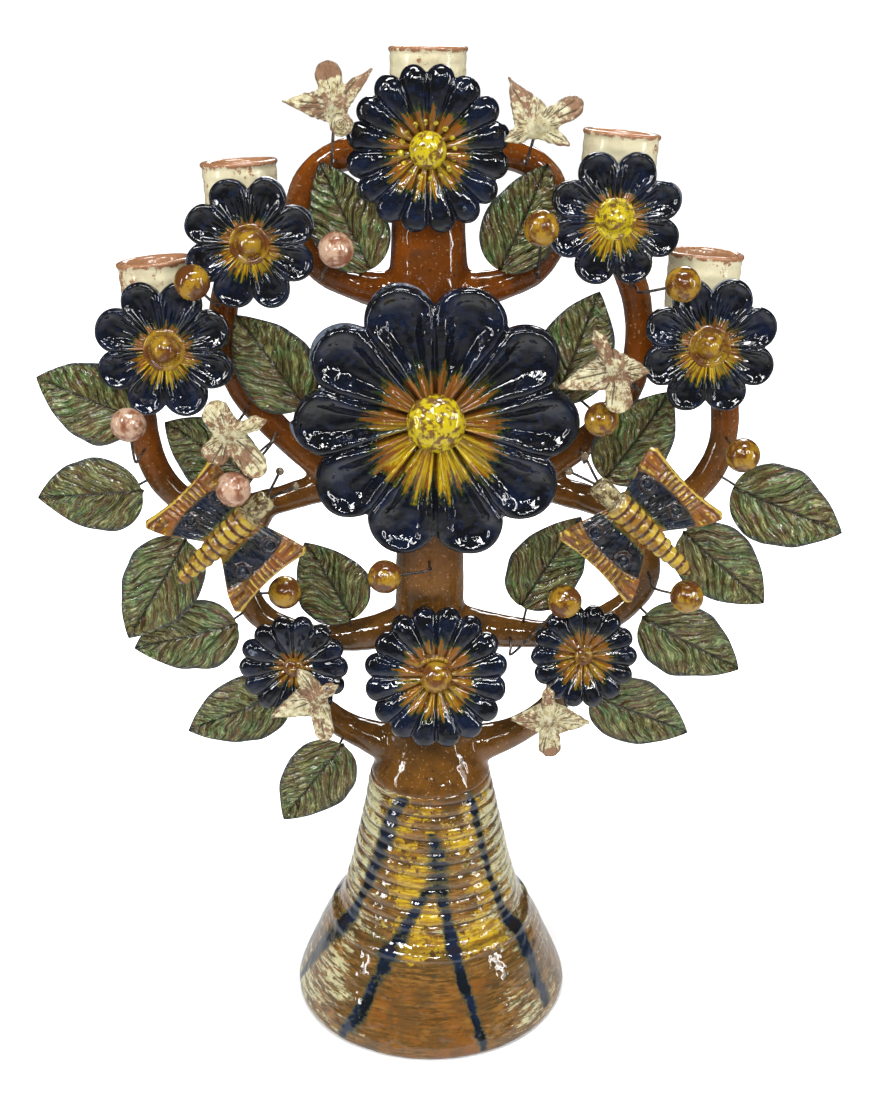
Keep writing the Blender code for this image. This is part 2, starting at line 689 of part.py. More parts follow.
clear_scene()
TREE = new_collection("clay_tree_of_life")
SHOP = new_collection("workshop")
ARMS = {}
for SIDE, SIGN in (("left", -1), ("right", 1)):
    WAY = arm_path("ring", RING, SIGN)
    ARMS[f"ring_{SIDE}"] = (WAY, radii_of(WAY, ARM_R))
for ARM_NAME, OUTLINE, START in (
    ("inner_left", INNER_LEFT, BRANCH_R), ("inner_right", INNER_RIGHT, BRANCH_R),
    ("outer_left", OUTER_LEFT, 0.8 * ARM_R), ("outer_right", OUTER_RIGHT, 0.8 * ARM_R),
):
    WAY = cup_arm_path(OUTLINE, "cup_upper_" + ARM_NAME[6:] if ARM_NAME[:5] == "inner" else "cup_" + ARM_NAME)
    ARMS[ARM_NAME] = (WAY, radii_of(WAY, START))
for ARM_NAME, OUTLINE, START, END in (
    ("loop_left", LOOP_LEFT, 0.75 * ARM_R, BRANCH_R),
    ("loop_right", LOOP_RIGHT, 0.75 * ARM_R, BRANCH_R),
    ("bottom_left", BOTTOM_LEFT, BRANCH_R, 0.8 * ARM_R),
    ("bottom_right", BOTTOM_RIGHT, BRANCH_R, 0.8 * ARM_R),
):
    WAY = arm_path(ARM_NAME, OUTLINE)
    ARMS[ARM_NAME] = (WAY, radii_of(WAY, START, END))
make_foot()
make_trunk()
make_arms()
make_cups()
make_flowers()
make_leaves()
make_berries()
make_birds()
make_butterflies()
bpy.data.collections.remove(SHOP)
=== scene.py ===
"""Looks of the glazed clay tree of life: a thrown foot with running glazes, one fused clay trunk with its
arms and upper ring, five candle cups, nine pressed flowers, and carved leaves, birds, butterflies and
berries on iron wires. Metres, +Z up, the tree's front faces -Y."""

import json
import math

import bmesh
import bpy
from mathutils import Matrix, Vector, noise


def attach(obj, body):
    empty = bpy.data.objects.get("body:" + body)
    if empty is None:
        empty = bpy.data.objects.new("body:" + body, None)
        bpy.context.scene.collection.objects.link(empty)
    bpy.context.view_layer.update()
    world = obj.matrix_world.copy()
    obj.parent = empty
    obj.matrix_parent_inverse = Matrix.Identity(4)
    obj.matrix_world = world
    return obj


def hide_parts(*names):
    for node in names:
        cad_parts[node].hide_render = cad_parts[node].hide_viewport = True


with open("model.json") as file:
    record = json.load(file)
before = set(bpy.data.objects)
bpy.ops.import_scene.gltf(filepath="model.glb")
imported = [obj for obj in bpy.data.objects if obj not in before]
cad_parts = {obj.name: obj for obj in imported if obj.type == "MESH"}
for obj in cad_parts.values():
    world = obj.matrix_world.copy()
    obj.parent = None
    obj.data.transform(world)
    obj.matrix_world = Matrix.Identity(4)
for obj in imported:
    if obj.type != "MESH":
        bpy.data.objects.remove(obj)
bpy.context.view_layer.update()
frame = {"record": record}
WIRE_ROOTS = {j["child"]: Vector(j["pos_m"]) for j in frame["record"]["behaviour"]["joints"]}

# Sizes, in metres.
TRUNK_R = 0.0205
ARM_R = 0.0085
FLARE_R = 0.0150
COLLAR_R = 0.0125
FOOT_H = 0.1530
WIRE_R = 0.0008
BERRY_R = 0.0095
LEAF_Y = -0.0120
FLOWER_Y = -0.0235
BERRY_Y = -0.0445
WING_Y = -0.0465
BIRD_Y = -0.0515
WIRE_TURN_Y = -0.0340
CUP_FLOOR = 0.0090
BIRD_R = 0.0068
FEELER_BEAD_R = 0.0023
BODY_PITCH = 0.0018
BIRD_PITCH = 0.0007
FRONT = Vector((0, -1, 0))
TOUCHING = 1e-6

# The foot, in millimetres: where its thrown neck starts, the groove under it, along which a shadow line is
# painted, and the pitch of its ridges.
NECK_MM = 69
LEDGE_MM = 60.5
RIDGE_MM = 7.4
# The runs are drawn narrower than their knots say, by this share.
RUN_SHARE = 0.76
# The warm glow on the foot is centred this many degrees round from the front.
GLOW_TURN = 8

# A butterfly's body, as shares of its length: where its rings start and how far apart they are.
RINGS_FROM = 0.240
RING_STEP = 0.076

# Centre lines of the arms in millimetres, as x and z.
RING = [
    (0, 530), (15, 529), (44, 525), (62, 516), (70, 499), (69, 480), (58, 463), (40, 455), (15, 450),
    (0, 449),
]
INNER_LEFT = [
    (0, 324), (-14, 329), (-46, 340), (-68, 354), (-89, 374), (-105, 393), (-114, 416), (-115, 440),
    (-109, 463), (-101, 482),
]
INNER_RIGHT = [
    (0, 324), (14, 329), (52, 341), (76, 354), (98, 372), (111, 391), (118, 414), (117, 443), (108, 470),
    (101, 497),
]
OUTER_LEFT = [
    (-44, 340), (-66, 336), (-90, 329), (-114, 323), (-136, 325), (-153, 338), (-162, 357), (-165, 380),
    (-160, 405), (-149, 429),
]
OUTER_RIGHT = [
    (50, 340), (72, 336), (96, 329), (118, 323), (139, 325), (156, 337), (167, 355), (170, 379), (163, 408),
    (151, 433),
]
LOOP_LEFT = [
    (-96, 327), (-106, 308), (-111, 286), (-108, 266), (-95, 251), (-70, 242), (-42, 244), (-14, 250),
    (0, 251),
]
LOOP_RIGHT = [
    (100, 327), (119, 310), (129, 290), (124, 270), (105, 254), (76, 245), (47, 246), (14, 251), (0, 252),
]
BOTTOM_LEFT = [(0, 164), (-14, 167), (-36, 175), (-58, 187), (-77, 205), (-86, 225), (-85, 246)]
BOTTOM_RIGHT = [(0, 164), (14, 167), (40, 174), (62, 185), (81, 204), (93, 226), (96, 250)]

# Cups: x and z of the foot in millimetres, and the outward lean in degrees.
CUPS = {
    "cup_top": (0, 540, 0.0),
    "cup_upper_left": (-101, 482, -2.5),
    "cup_upper_right": (101, 497, 5.0),
    "cup_outer_left": (-149, 429, -4.5),
    "cup_outer_right": (151, 433, 3.5),
}

# Flowers: x, z, radius, thickness and heart radius in millimetres, petals, petal shape, boss x and z,
# boss radius, upward nod in degrees, depth forward, and how far the gold runs out as a share of the radius.
FLOWERS = {
    "flower_centre": (4, 384, 79, 18.4, 16.5, 10, "spoon", 2, 386, 15, 0, 0, 0.45),
    "flower_top": (0, 529, 43, 10.5, 10.0, 16, "plump", 1, 515, 9, 0, 0, 0.50),
    "flower_upper_left": (-95, 481, 36, 10.5, 8.5, 8, "spoon", -105, 466, 6, 0, 0, 0.43),
    "flower_upper_right": (99, 494, 36, 10.5, 8.5, 8, "spoon", 107, 477, 6, 0, 0, 0.47),
    "flower_outer_left": (-144, 424, 39, 10.5, 9.0, 8, "spoon", -156, 411, 6, 0, 0, 0.43),
    "flower_outer_right": (153, 426, 38, 10.5, 9.0, 8, "spoon", 162, 411, 6, 0, 0, 0.45),
    "flower_bottom": (4, 232, 42, 10.5, 9.5, 16, "plump", 2, 232, 12, 14, 10, 0.52),
    "flower_lower_left": (-80, 235, 32, 10.5, 5.0, 14, "plump", -78, 243, 6, 0, 0, 0.34),
    "flower_lower_right": (90, 243, 31, 10.5, 4.5, 14, "plump", 89, 246, 6, 10, 4, 0.52),
}

# How a luting narrows from the clay body to its waist and widens to its flower, as shares of its radius.
LUTING_WAIST = (1.25, 1.2, 1.12, 1.06, 1.0, 0.98, 0.98, 1.0, 1.05, 1.12, 1.2, 1.25, 1.3)

# Leaves: base x and z, tip x and z and width in millimetres, then base and tip depth forward.
LEAVES = {
    "leaf_01": (-164, 382, -219, 406, 46, 2, 4),
    "leaf_02": (-164, 339, -233, 327, 44, 0, -24),
    "leaf_03": (-140, 312, -178, 250, 44, 8, 8),
    "leaf_04": (-114, 256, -177, 240, 44, 0, 0),
    "leaf_05": (-86, 212, -147, 187, 42, 0, 4),
    "leaf_06": (-53, 178, -91, 127, 42, 2, 6),
    "leaf_07": (-101, 346, -150, 379, 43, 0, 0),
    "leaf_08": (-70, 389, -107, 440, 44, 0, 0),
    "leaf_09": (-46, 260, -73, 307, 42, 0, 0),
    "leaf_10": (-32, 465, -58, 522, 40, 0, 0),
    "leaf_11": (39, 465, 64, 521, 40, 0, 0),
    "leaf_12": (71, 392, 94, 453, 44, 0, 0),
    "leaf_13": (101, 346, 137, 397, 42, 0, 0),
    "leaf_14": (174, 342, 233, 321, 46, 4, 24),
    "leaf_15": (146, 317, 196, 272, 42, 8, 8),
    "leaf_16": (126, 261, 186, 226, 44, 0, 0),
    "leaf_17": (97, 214, 156, 188, 42, 8, 8),
    "leaf_18": (54, 268, 88, 323, 42, 0, 0),
}

# Berries: x, z and depth forward of the berry layer in millimetres, and whether the slip is worn pale.
BERRIES = {
    "berry_01": (-48, 480, 0, True),
    "berry_02": (59, 491, 0, False),
    "berry_03": (-124, 463, 0, False),
    "berry_04": (134, 462, 0, False),
    "berry_05": (-163, 386, 0, True),
    "berry_06": (172, 369, 0, False),
    "berry_07": (-105, 355, 18, True),
    "berry_08": (94, 389, 0, False),
    "berry_09": (-83, 284, -12, False),
    "berry_10": (146, 286, 0, False),
    "berry_11": (-25, 298, 0, False),
    "berry_12": (77, 283, 0, False),
}

# Birds: body x and z, then head, first wing, second wing and tail as x and z from the body, then depth
# forward of the bird layer, then half widths: root and tip of each wing, and the end of the tail. All in
# millimetres.
BIRDS = {
    "bird_01": (-46, 552, (3, -9), (-24, 2), (17, 16), (-4, 19), 0, (8.0, 1.3, 5.0, 1.4, 7.2)),
    "bird_02": (55, 542, (-12, -5), (-13, 21), (15, -8), (20, 11), 0, (9.5, 1.2, 5.0, 1.8, 6.0)),
    "bird_03": (-106, 386, (17, 7), (-9, 14), (15, -21), (-10, -14), 10, (6.0, 8.2, 5.0, 7.6, 8.0)),
    "bird_04": (99, 419, (-11, 19), (-26, -9), (16, -1), (3, -21), 4, (9.0, 2.0, 9.0, 1.8, 8.0)),
    "bird_05": (-64, 230, (8, 6), (-24, -12), (-9, 15), (4, -25), 6, (9.0, 1.6, 5.5, 3.4, 5.8)),
    "bird_06": (69, 214, (-1, 19), (-19, -1), (21, -2), (1, -21), 2, (9.0, 1.5, 9.0, 1.6, 7.0)),
}

# Butterflies: head x and z, tail x and z, in millimetres.
BUTTERFLIES = {
    "butterfly_left": (-88, 346, -141, 296),
    "butterfly_right": (92, 354, 146, 301),
}

# Lights: place, height aimed at, width and height in metres, and watts.
SOFT_BOXES = {
    "key soft box": ((-1.0, -1.3, 1.7), 0.33, 0.26, 0.50, 20),
    "fill soft box": ((1.2, -1.2, 1.3), 0.33, 0.20, 0.50, 11),
    "upper left strip": ((-0.45, -1.5, 1.45), 0.33, 0.05, 0.30, 5),
    "upper right strip": ((0.55, -1.5, 1.25), 0.33, 0.05, 0.30, 5),
    "front strip": ((0.05, -1.5, 1.05), 0.33, 0.30, 0.05, 4),
    "top soft box": ((0.1, -0.3, 2.1), 0.3, 0.8, 0.25, 24),
    "left strip": ((-1.5, -0.7, 0.7), 0.35, 0.10, 0.9, 7),
    "right strip": ((1.5, -0.6, 0.6), 0.35, 0.10, 0.9, 6),
    "back soft box": ((0.2, 1.6, 1.5), 0.3, 1.2, 0.5, 24),
}

# Cobalt runs on the foot, as knots of degrees round from the front, height and width in millimetres.
RUNS = [
    [
        (-24, 152, 7), (-34, 140, 9), (-38, 126, 10), (-40, 118, 9), (-46, 104, 8), (-50, 90, 8),
        (-57, 74, 9), (-64, 57, 12), (-70, 44, 11), (-76, 22, 9), (-80, 6, 6),
    ],
    [
        (0, 131, 5), (5, 121, 9), (7, 110, 12), (7, 100, 12), (-3, 93, 9), (-8, 88, 8), (-15, 74, 7),
        (-25, 57, 12), (-26, 46, 8), (-30, 32, 7), (-36, 13, 9), (-38, 3, 5),
    ],
    [
        (7, 100, 12), (10, 88, 7), (12, 72, 7), (13, 60, 9), (16, 47, 7), (19, 31, 6), (21, 13, 6),
        (22, 3, 4),
    ],
    [
        (36, 157, 4), (42, 144, 6), (45, 127, 6), (47, 115, 6), (48, 100, 5), (51, 88, 5), (54, 73, 7),
        (60, 56, 12), (60, 42, 10), (59, 25, 9), (60, 9, 8),
    ],
    [
        (98, 150, 6), (101, 120, 8), (103, 84, 7), (108, 58, 11), (110, 34, 8), (112, 14, 6),
    ],
    [
        (136, 152, 5), (139, 128, 8), (146, 96, 8), (147, 60, 11), (152, 38, 8), (153, 5, 7),
    ],
    [
        (182, 148, 7), (178, 118, 10), (181, 84, 8), (176, 62, 12), (172, 30, 8), (170, 12, 5),
    ],
    [
        (222, 152, 6), (224, 130, 7), (229, 98, 8), (232, 66, 9), (233, 48, 8), (236, 26, 6),
    ],
    [
        (254, 150, 5), (257, 120, 8), (262, 90, 7), (262, 64, 10), (266, 40, 9), (268, 8, 8),
    ],
]


def at(x, z, y=0.0):
    """A layout point given in millimetres. y is already in metres."""
    return Vector((x / 1000, y, z / 1000))


def ease(low, high, value):
    """0 below low, 1 above high and smooth between. It falls instead when low is the larger."""
    share = max(0.0, min(1.0, (value - low) / (high - low)))
    return share * share * (3 - 2 * share)


def grain(point, scale, seed=0.0):
    """Smooth noise of about -1 to 1 at a point, with scale waves to the metre."""
    return noise.noise(Vector((point.x * scale + seed, point.y * scale - seed, point.z * scale + 2 * seed)))


def smooth_path(points, per):
    """Catmull-Rom points through a path, with per points to each stretch."""
    ends = [2 * points[0] - points[1], *points, 2 * points[-1] - points[-2]]
    found = []
    for i in range(1, len(ends) - 2):
        a, b, c, d = ends[i - 1 : i + 3]
        for j in range(per):
            t = j / per
            square = (2 * a - 5 * b + 4 * c - d) * t**2
            cube = (3 * b - a - 3 * c + d) * t**3
            found.append(0.5 * (2 * b + (c - a) * t + square + cube))
    return [*found, points[-1]]


def bench(mesh):
    """A bmesh holding a mesh's shape with its doubles merged. The mesh is thrown away."""
    bm = bmesh.new()
    bm.from_mesh(mesh)
    bpy.data.meshes.remove(mesh)
    bmesh.ops.remove_doubles(bm, verts=bm.verts, dist=TOUCHING)
    return bm


def read_out(thing):
    """The mesh that an object's modifiers or curve make. The object is thrown away."""
    bpy.context.scene.collection.objects.link(thing)
    bpy.context.view_layer.update()
    graph = bpy.context.evaluated_depsgraph_get()
    mesh = bpy.data.meshes.new_from_object(thing.evaluated_get(graph))
    bpy.data.objects.remove(thing, do_unlink=True)
    return mesh


def rod(points, radii, fine=3):
    """A closed round rod along points."""
    curve = bpy.data.curves.new("rod", "CURVE")
    curve.dimensions = "3D"
    curve.bevel_depth = 1.0
    curve.bevel_resolution = fine
    curve.use_fill_caps = True
    spline = curve.splines.new("POLY")
    spline.points.add(len(points) - 1)
    for knot, point, radius in zip(spline.points, points, radii, strict=True):
        knot.co = (*point, 1.0)
        knot.radius = radius
    bm = bench(read_out(bpy.data.objects.new("rod", curve)))
    bmesh.ops.recalc_face_normals(bm, faces=bm.faces)
    return bm


def gather(*parts):
    """One bmesh of several. The others are freed."""
    whole = parts[0]
    for part in parts[1:]:
        mesh = bpy.data.meshes.new("part")
        part.to_mesh(mesh)
        part.free()
        whole.from_mesh(mesh)
        bpy.data.meshes.remove(mesh)
    return whole


def knead(bm, pitch, rubs):
    """Fuses overlapping closed shapes into one skin, then rubs it smooth, as wet clay is."""
    mesh = bpy.data.meshes.new("lump")
    bm.to_mesh(mesh)
    bm.free()
    lump = bpy.data.objects.new("lump", mesh)
    fuse = lump.modifiers.new("fuse", "REMESH")
    fuse.mode = "VOXEL"
    fuse.voxel_size = pitch
    fused = bench(read_out(lump))
    for _ in range(rubs):
        bmesh.ops.smooth_vert(
            fused, verts=fused.verts, factor=0.5, use_axis_x=True, use_axis_y=True, use_axis_z=True
        )
    return fused


def crests(bm, gain):
    """Marks on each point how sharply the surface bulges there: 0.5 where it is flat."""
    bm.normal_update()
    crest = bm.verts.layers.float.new("crest")
    bulge = {}
    for v in bm.verts:
        around = [e.other_vert(v).co for e in v.link_edges]
        bulge[v] = (v.co - sum(around, Vector()) / len(around)).dot(v.normal) * gain
    for v in bm.verts:
        around = [bulge[e.other_vert(v)] for e in v.link_edges]
        v[crest] = 0.5 + 0.5 * (bulge[v] + sum(around) / len(around))


def turn_round(bm, points, steps):
    """Joins points into an outline and turns it once about Z."""
    edges = [bm.edges.new(pair) for pair in zip(points, points[1:])]
    bmesh.ops.spin(
        bm, geom=points + edges, cent=(0, 0, 0), axis=(0, 0, 1), dvec=(0, 0, 0), angle=math.tau, steps=steps,
        use_merge=True,
    )


def thrown(profile, steps):
    """Turns an outline of (radius, height), open or closed on the axis, about Z."""
    bm = bmesh.new()
    turn_round(bm, [bm.verts.new((r, 0.0, z)) for r, z in profile], steps)
    bmesh.ops.remove_doubles(bm, verts=bm.verts, dist=TOUCHING)
    return bm


def swell(point, radius, by):
    """Moves a point of a turned shape out from its axis by a distance."""
    point.x *= 1 + by / radius
    point.y *= 1 + by / radius


def new_marks(bm, *names):
    """A number carried by each point under each name, for the glazes to read."""
    return {name: bm.verts.layers.float.new(name) for name in names}


def plate(x_segments, y_segments):
    """A flat plate of two joined grids from -1 to 1, and the points of its back."""
    bm = bmesh.new()
    bmesh.ops.create_grid(bm, x_segments=x_segments, y_segments=y_segments, size=1.0)
    made = bmesh.ops.extrude_face_region(bm, geom=bm.faces[:], use_keep_orig=True)
    return bm, {part for part in made["geom"] if isinstance(part, bmesh.types.BMVert)}


def ball(centre, radius, turns=24, rows=16, squash=(1, 1, 1)):
    """A ball, squashed along the axes by the shares given."""
    bm = bmesh.new()
    bmesh.ops.create_uvsphere(bm, u_segments=turns, v_segments=rows, radius=radius)
    bmesh.ops.scale(bm, vec=squash, verts=bm.verts)
    bmesh.ops.translate(bm, vec=centre, verts=bm.verts)
    return bm


def lean_to(bm, heading, centre):
    """Turns a shape that stands along Z to stand along heading, and moves it to centre."""
    turn = Vector((0, 0, 1)).rotation_difference(heading).to_matrix()
    bmesh.ops.rotate(bm, matrix=turn, cent=(0, 0, 0), verts=bm.verts)
    bmesh.ops.translate(bm, vec=centre, verts=bm.verts)
    return bm


def fire(name, bm, finish, body, slot, *nodes):
    """Makes a shape a piece of the tree: closed, smooth, glazed, and riding on its body."""
    bmesh.ops.remove_doubles(bm, verts=bm.verts, dist=TOUCHING)
    bmesh.ops.dissolve_degenerate(bm, edges=bm.edges, dist=TOUCHING)
    bmesh.ops.recalc_face_normals(bm, faces=bm.faces)
    mesh = bpy.data.meshes.new(name)
    bm.to_mesh(mesh)
    bm.free()
    mesh.shade_smooth()
    mesh.materials.append(finish)
    piece = bpy.data.objects.new(name, mesh)
    bpy.context.scene.collection.objects.link(piece)
    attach(piece, body)
    if nodes:
        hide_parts(*nodes)
    return piece


# ---------------------------------------------------------------- glazes


def put(tree, kind, values=None, **settings):
    """Adds a node, with its settings, and its sockets set or linked."""
    made = tree.nodes.new(kind)
    for key, value in settings.items():
        setattr(made, key, value)
    for key, value in (values or {}).items():
        if isinstance(value, bpy.types.NodeSocket):
            tree.links.new(value, made.inputs[key])
        else:
            made.inputs[key].default_value = value
    return made


def mask(tree, value, low, high):
    """0 below low, 1 above high and smooth between. It falls instead when low is the larger."""
    values = {"Value": value, "From Min": low, "From Max": high}
    return put(tree, "ShaderNodeMapRange", values, interpolation_type="SMOOTHSTEP").outputs["Result"]


def maths(tree, operation, a, b=0.0):
    """One sum on two numbers or sockets."""
    return put(tree, "ShaderNodeMath", {0: a, 1: b}, operation=operation).outputs[0]


def tint(tree, factor, a, b):
    """Colour a where the factor is 0, turning to colour b where it is 1."""
    made = put(tree, "ShaderNodeMix", {0: factor}, data_type="RGBA")
    for slot, value in ((6, a), (7, b)):
        if isinstance(value, bpy.types.NodeSocket):
            tree.links.new(value, made.inputs[slot])
        else:
            made.inputs[slot].default_value = (*value, 1.0)
    return made.outputs[2]


def wash(tree, under, where, strength, over):
    """A colour laid thinly over another, at most as strong as strength says."""
    return tint(tree, maths(tree, "MULTIPLY", where, strength), under, over)


def pushed(tree, value, noise_value, amount):
    """A value pushed up and down by noise of 0 to 1."""
    push = maths(tree, "MULTIPLY", maths(tree, "SUBTRACT", noise_value, 0.5), amount)
    return maths(tree, "ADD", value, push)


def speckle(tree, vector, scale, detail=4.0, rough=0.6, stretch=None):
    """Noise of 0 to 1, drawn out along an axis where its stretch is small."""
    if stretch is not None:
        vector = put(tree, "ShaderNodeMapping", {"Vector": vector, "Scale": stretch}).outputs[0]
    values = {"Vector": vector, "Scale": scale, "Detail": detail, "Roughness": rough}
    return put(tree, "ShaderNodeTexNoise", values).outputs["Fac"]


def carried(tree, name, output="Fac"):
    """What the modelling left on each point of the piece under this name."""
    return put(tree, "ShaderNodeAttribute", attribute_name=name).outputs[output]


def new_group(name, inputs, outputs):
    """An empty node group, with what it is given and what it puts out."""
    tree = bpy.data.node_groups.new(name, "ShaderNodeTree")
    for label, kind, value in inputs:
        socket = tree.interface.new_socket(name=label, in_out="INPUT", socket_type=kind)
        if value is not None:
            socket.default_value = value
    for label, kind in outputs:
        tree.interface.new_socket(name=label, in_out="OUTPUT", socket_type=kind)
    return tree, tree.nodes.new("NodeGroupInput").outputs, tree.nodes.new("NodeGroupOutput").inputs


def make_mottle():
    """Patches where one glaze lies thick over another."""
    inputs = [
        ("Vector", "NodeSocketVector", None), ("Scale", "NodeSocketFloat", 60.0),
        ("Low", "NodeSocketFloat", 0.45), ("High", "NodeSocketFloat", 0.6),
    ]
    tree, given, out = new_group("glaze patches", inputs, [("Mask", "NodeSocketFloat")])
    cloud = speckle(tree, given["Vector"], given["Scale"], 5.0, 0.62)
    tree.links.new(mask(tree, cloud, given["Low"], given["High"]), out["Mask"])
    return tree


def make_skin():
    """The surface of a fired glaze: slow ripples, an orange-peel skin and pin-holes."""
    inputs = [
        ("Vector", "NodeSocketVector", None), ("Ripple", "NodeSocketFloat", 160.0),
        ("Peel", "NodeSocketFloat", 700.0), ("Pin-holes", "NodeSocketFloat", 0.5),
    ]
    outputs = [("Height", "NodeSocketFloat"), ("Dulling", "NodeSocketFloat")]
    tree, given, out = new_group("fired skin", inputs, outputs)
    where = given["Vector"]
    slow = put(tree, "ShaderNodeTexNoise", {"Vector": where, "Scale": given["Ripple"], "Detail": 1.0})
    fine = put(tree, "ShaderNodeTexNoise", {"Vector": where, "Scale": given["Peel"], "Detail": 3.0})
    holes = put(tree, "ShaderNodeTexVoronoi", {"Vector": where, "Scale": 420.0, "Randomness": 1.0})
    pin = mask(tree, holes.outputs["Distance"], 0.16, 0.06)
    rare = mask(tree, slow.outputs["Fac"], 0.5, 0.62)
    pits = maths(tree, "MULTIPLY", maths(tree, "MULTIPLY", pin, rare), given["Pin-holes"])
    height = maths(tree, "ADD", slow.outputs["Fac"], maths(tree, "MULTIPLY", fine.outputs["Fac"], 0.03))
    tree.links.new(maths(tree, "SUBTRACT", height, pits), out["Height"])
    tree.links.new(mask(tree, fine.outputs["Fac"], 0.5, 0.8), out["Dulling"])
    return tree


def make_rubbed():
    """Where handling has rubbed a glaze thin: on the crests, broken up by the grain."""
    inputs = [
        ("Vector", "NodeSocketVector", None), ("Crest", "NodeSocketFloat", 0.5),
        ("Scale", "NodeSocketFloat", 260.0), ("Amount", "NodeSocketFloat", 0.5),
    ]
    tree, given, out = new_group("rubbed crests", inputs, [("Mask", "NodeSocketFloat")])
    lifted = pushed(tree, given["Crest"], speckle(tree, given["Vector"], given["Scale"], 6.0, 0.7), 1.8)
    edge = maths(tree, "SUBTRACT", 1.0, given["Amount"])
    worn = mask(tree, maths(tree, "SUBTRACT", lifted, edge), 0.0, 0.22)
    tree.links.new(worn, out["Mask"])
    return tree


MOTTLE = make_mottle()
SKIN = make_skin()
RUBBED = make_rubbed()


def grouped(tree, group, **values):
    """The mask that a node group makes of the values given."""
    return put(tree, "ShaderNodeGroup", values, node_tree=group).outputs["Mask"]


def new_glaze(name):
    """A new material, its nodes, and the place of each point on the piece."""
    material = bpy.data.materials.new(name)
    material.use_nodes = True
    tree = material.node_tree
    place = put(tree, "ShaderNodeTexCoord").outputs["Object"]
    return material, tree, place


def streaks(tree, stretch, scale, detail=4.0, rough=0.6):
    """Noise drawn out along the strokes of the modelling tool, which each point carries as its fan."""
    return speckle(tree, carried(tree, "fan", "Vector"), scale, detail, rough, stretch)


def glossed(
    tree, place, colour, rough=0.12, dull=0.12, ripple=150.0, peel=650.0, depth=0.0009, coat=0.25, extra=None,
    more_rough=None,
):
    """Finishes a glaze: its colour, the fired skin as bump and roughness, and a clear glass coat."""
    shader = tree.nodes["Principled BSDF"]
    tree.links.new(colour, shader.inputs["Base Color"])
    values = {"Vector": place, "Ripple": ripple, "Peel": peel}
    skin = put(tree, "ShaderNodeGroup", values, node_tree=SKIN).outputs
    height = skin["Height"]
    if extra is not None:
        height = maths(tree, "ADD", height, extra)
    bump = put(tree, "ShaderNodeBump", {"Height": height, "Distance": depth, "Strength": 1.0})
    tree.links.new(bump.outputs["Normal"], shader.inputs["Normal"])
    values = {0: skin["Dulling"], 1: dull, 2: rough}
    gloss = put(tree, "ShaderNodeMath", values, operation="MULTIPLY_ADD").outputs[0]
    if more_rough is not None:
        gloss = maths(tree, "ADD", gloss, more_rough)
    tree.links.new(gloss, shader.inputs["Roughness"])
    shader.inputs["IOR"].default_value = 1.5
    shader.inputs["Coat Weight"].default_value = coat
    shader.inputs["Coat Roughness"].default_value = 0.04


def brown_glaze():
    material, tree, place = new_glaze("terracotta under amber glaze")
    height = put(tree, "ShaderNodeSeparateXYZ", {"Vector": place}).outputs["Z"]
    thick = grouped(tree, MOTTLE, Vector=place, Scale=26.0, Low=0.40, High=0.62)
    dark = grouped(tree, MOTTLE, Vector=place, Scale=70.0, Low=0.50, High=0.70)
    orange = tint(tree, thick, (0.150, 0.038, 0.003), (0.100, 0.028, 0.004))
    olive = tint(tree, thick, (0.125, 0.052, 0.009), (0.070, 0.034, 0.010))
    low = mask(tree, pushed(tree, height, speckle(tree, place, 12.0), 0.30), 0.42, 0.30)
    colour = tint(tree, low, orange, olive)
    colour = wash(tree, colour, dark, 0.6, (0.036, 0.018, 0.007))
    specks = mask(tree, speckle(tree, place, 620.0, 2.0), 0.64, 0.70)
    colour = wash(tree, colour, specks, 0.5, (0.42, 0.24, 0.11))
    iron_spots = mask(tree, speckle(tree, place, 480.0, 2.0), 0.36, 0.30)
    colour = wash(tree, colour, iron_spots, 0.7, (0.024, 0.010, 0.005))
    glossed(tree, place, colour, rough=0.05, dull=0.06, ripple=120.0, peel=600.0, depth=0.0009)
    return material


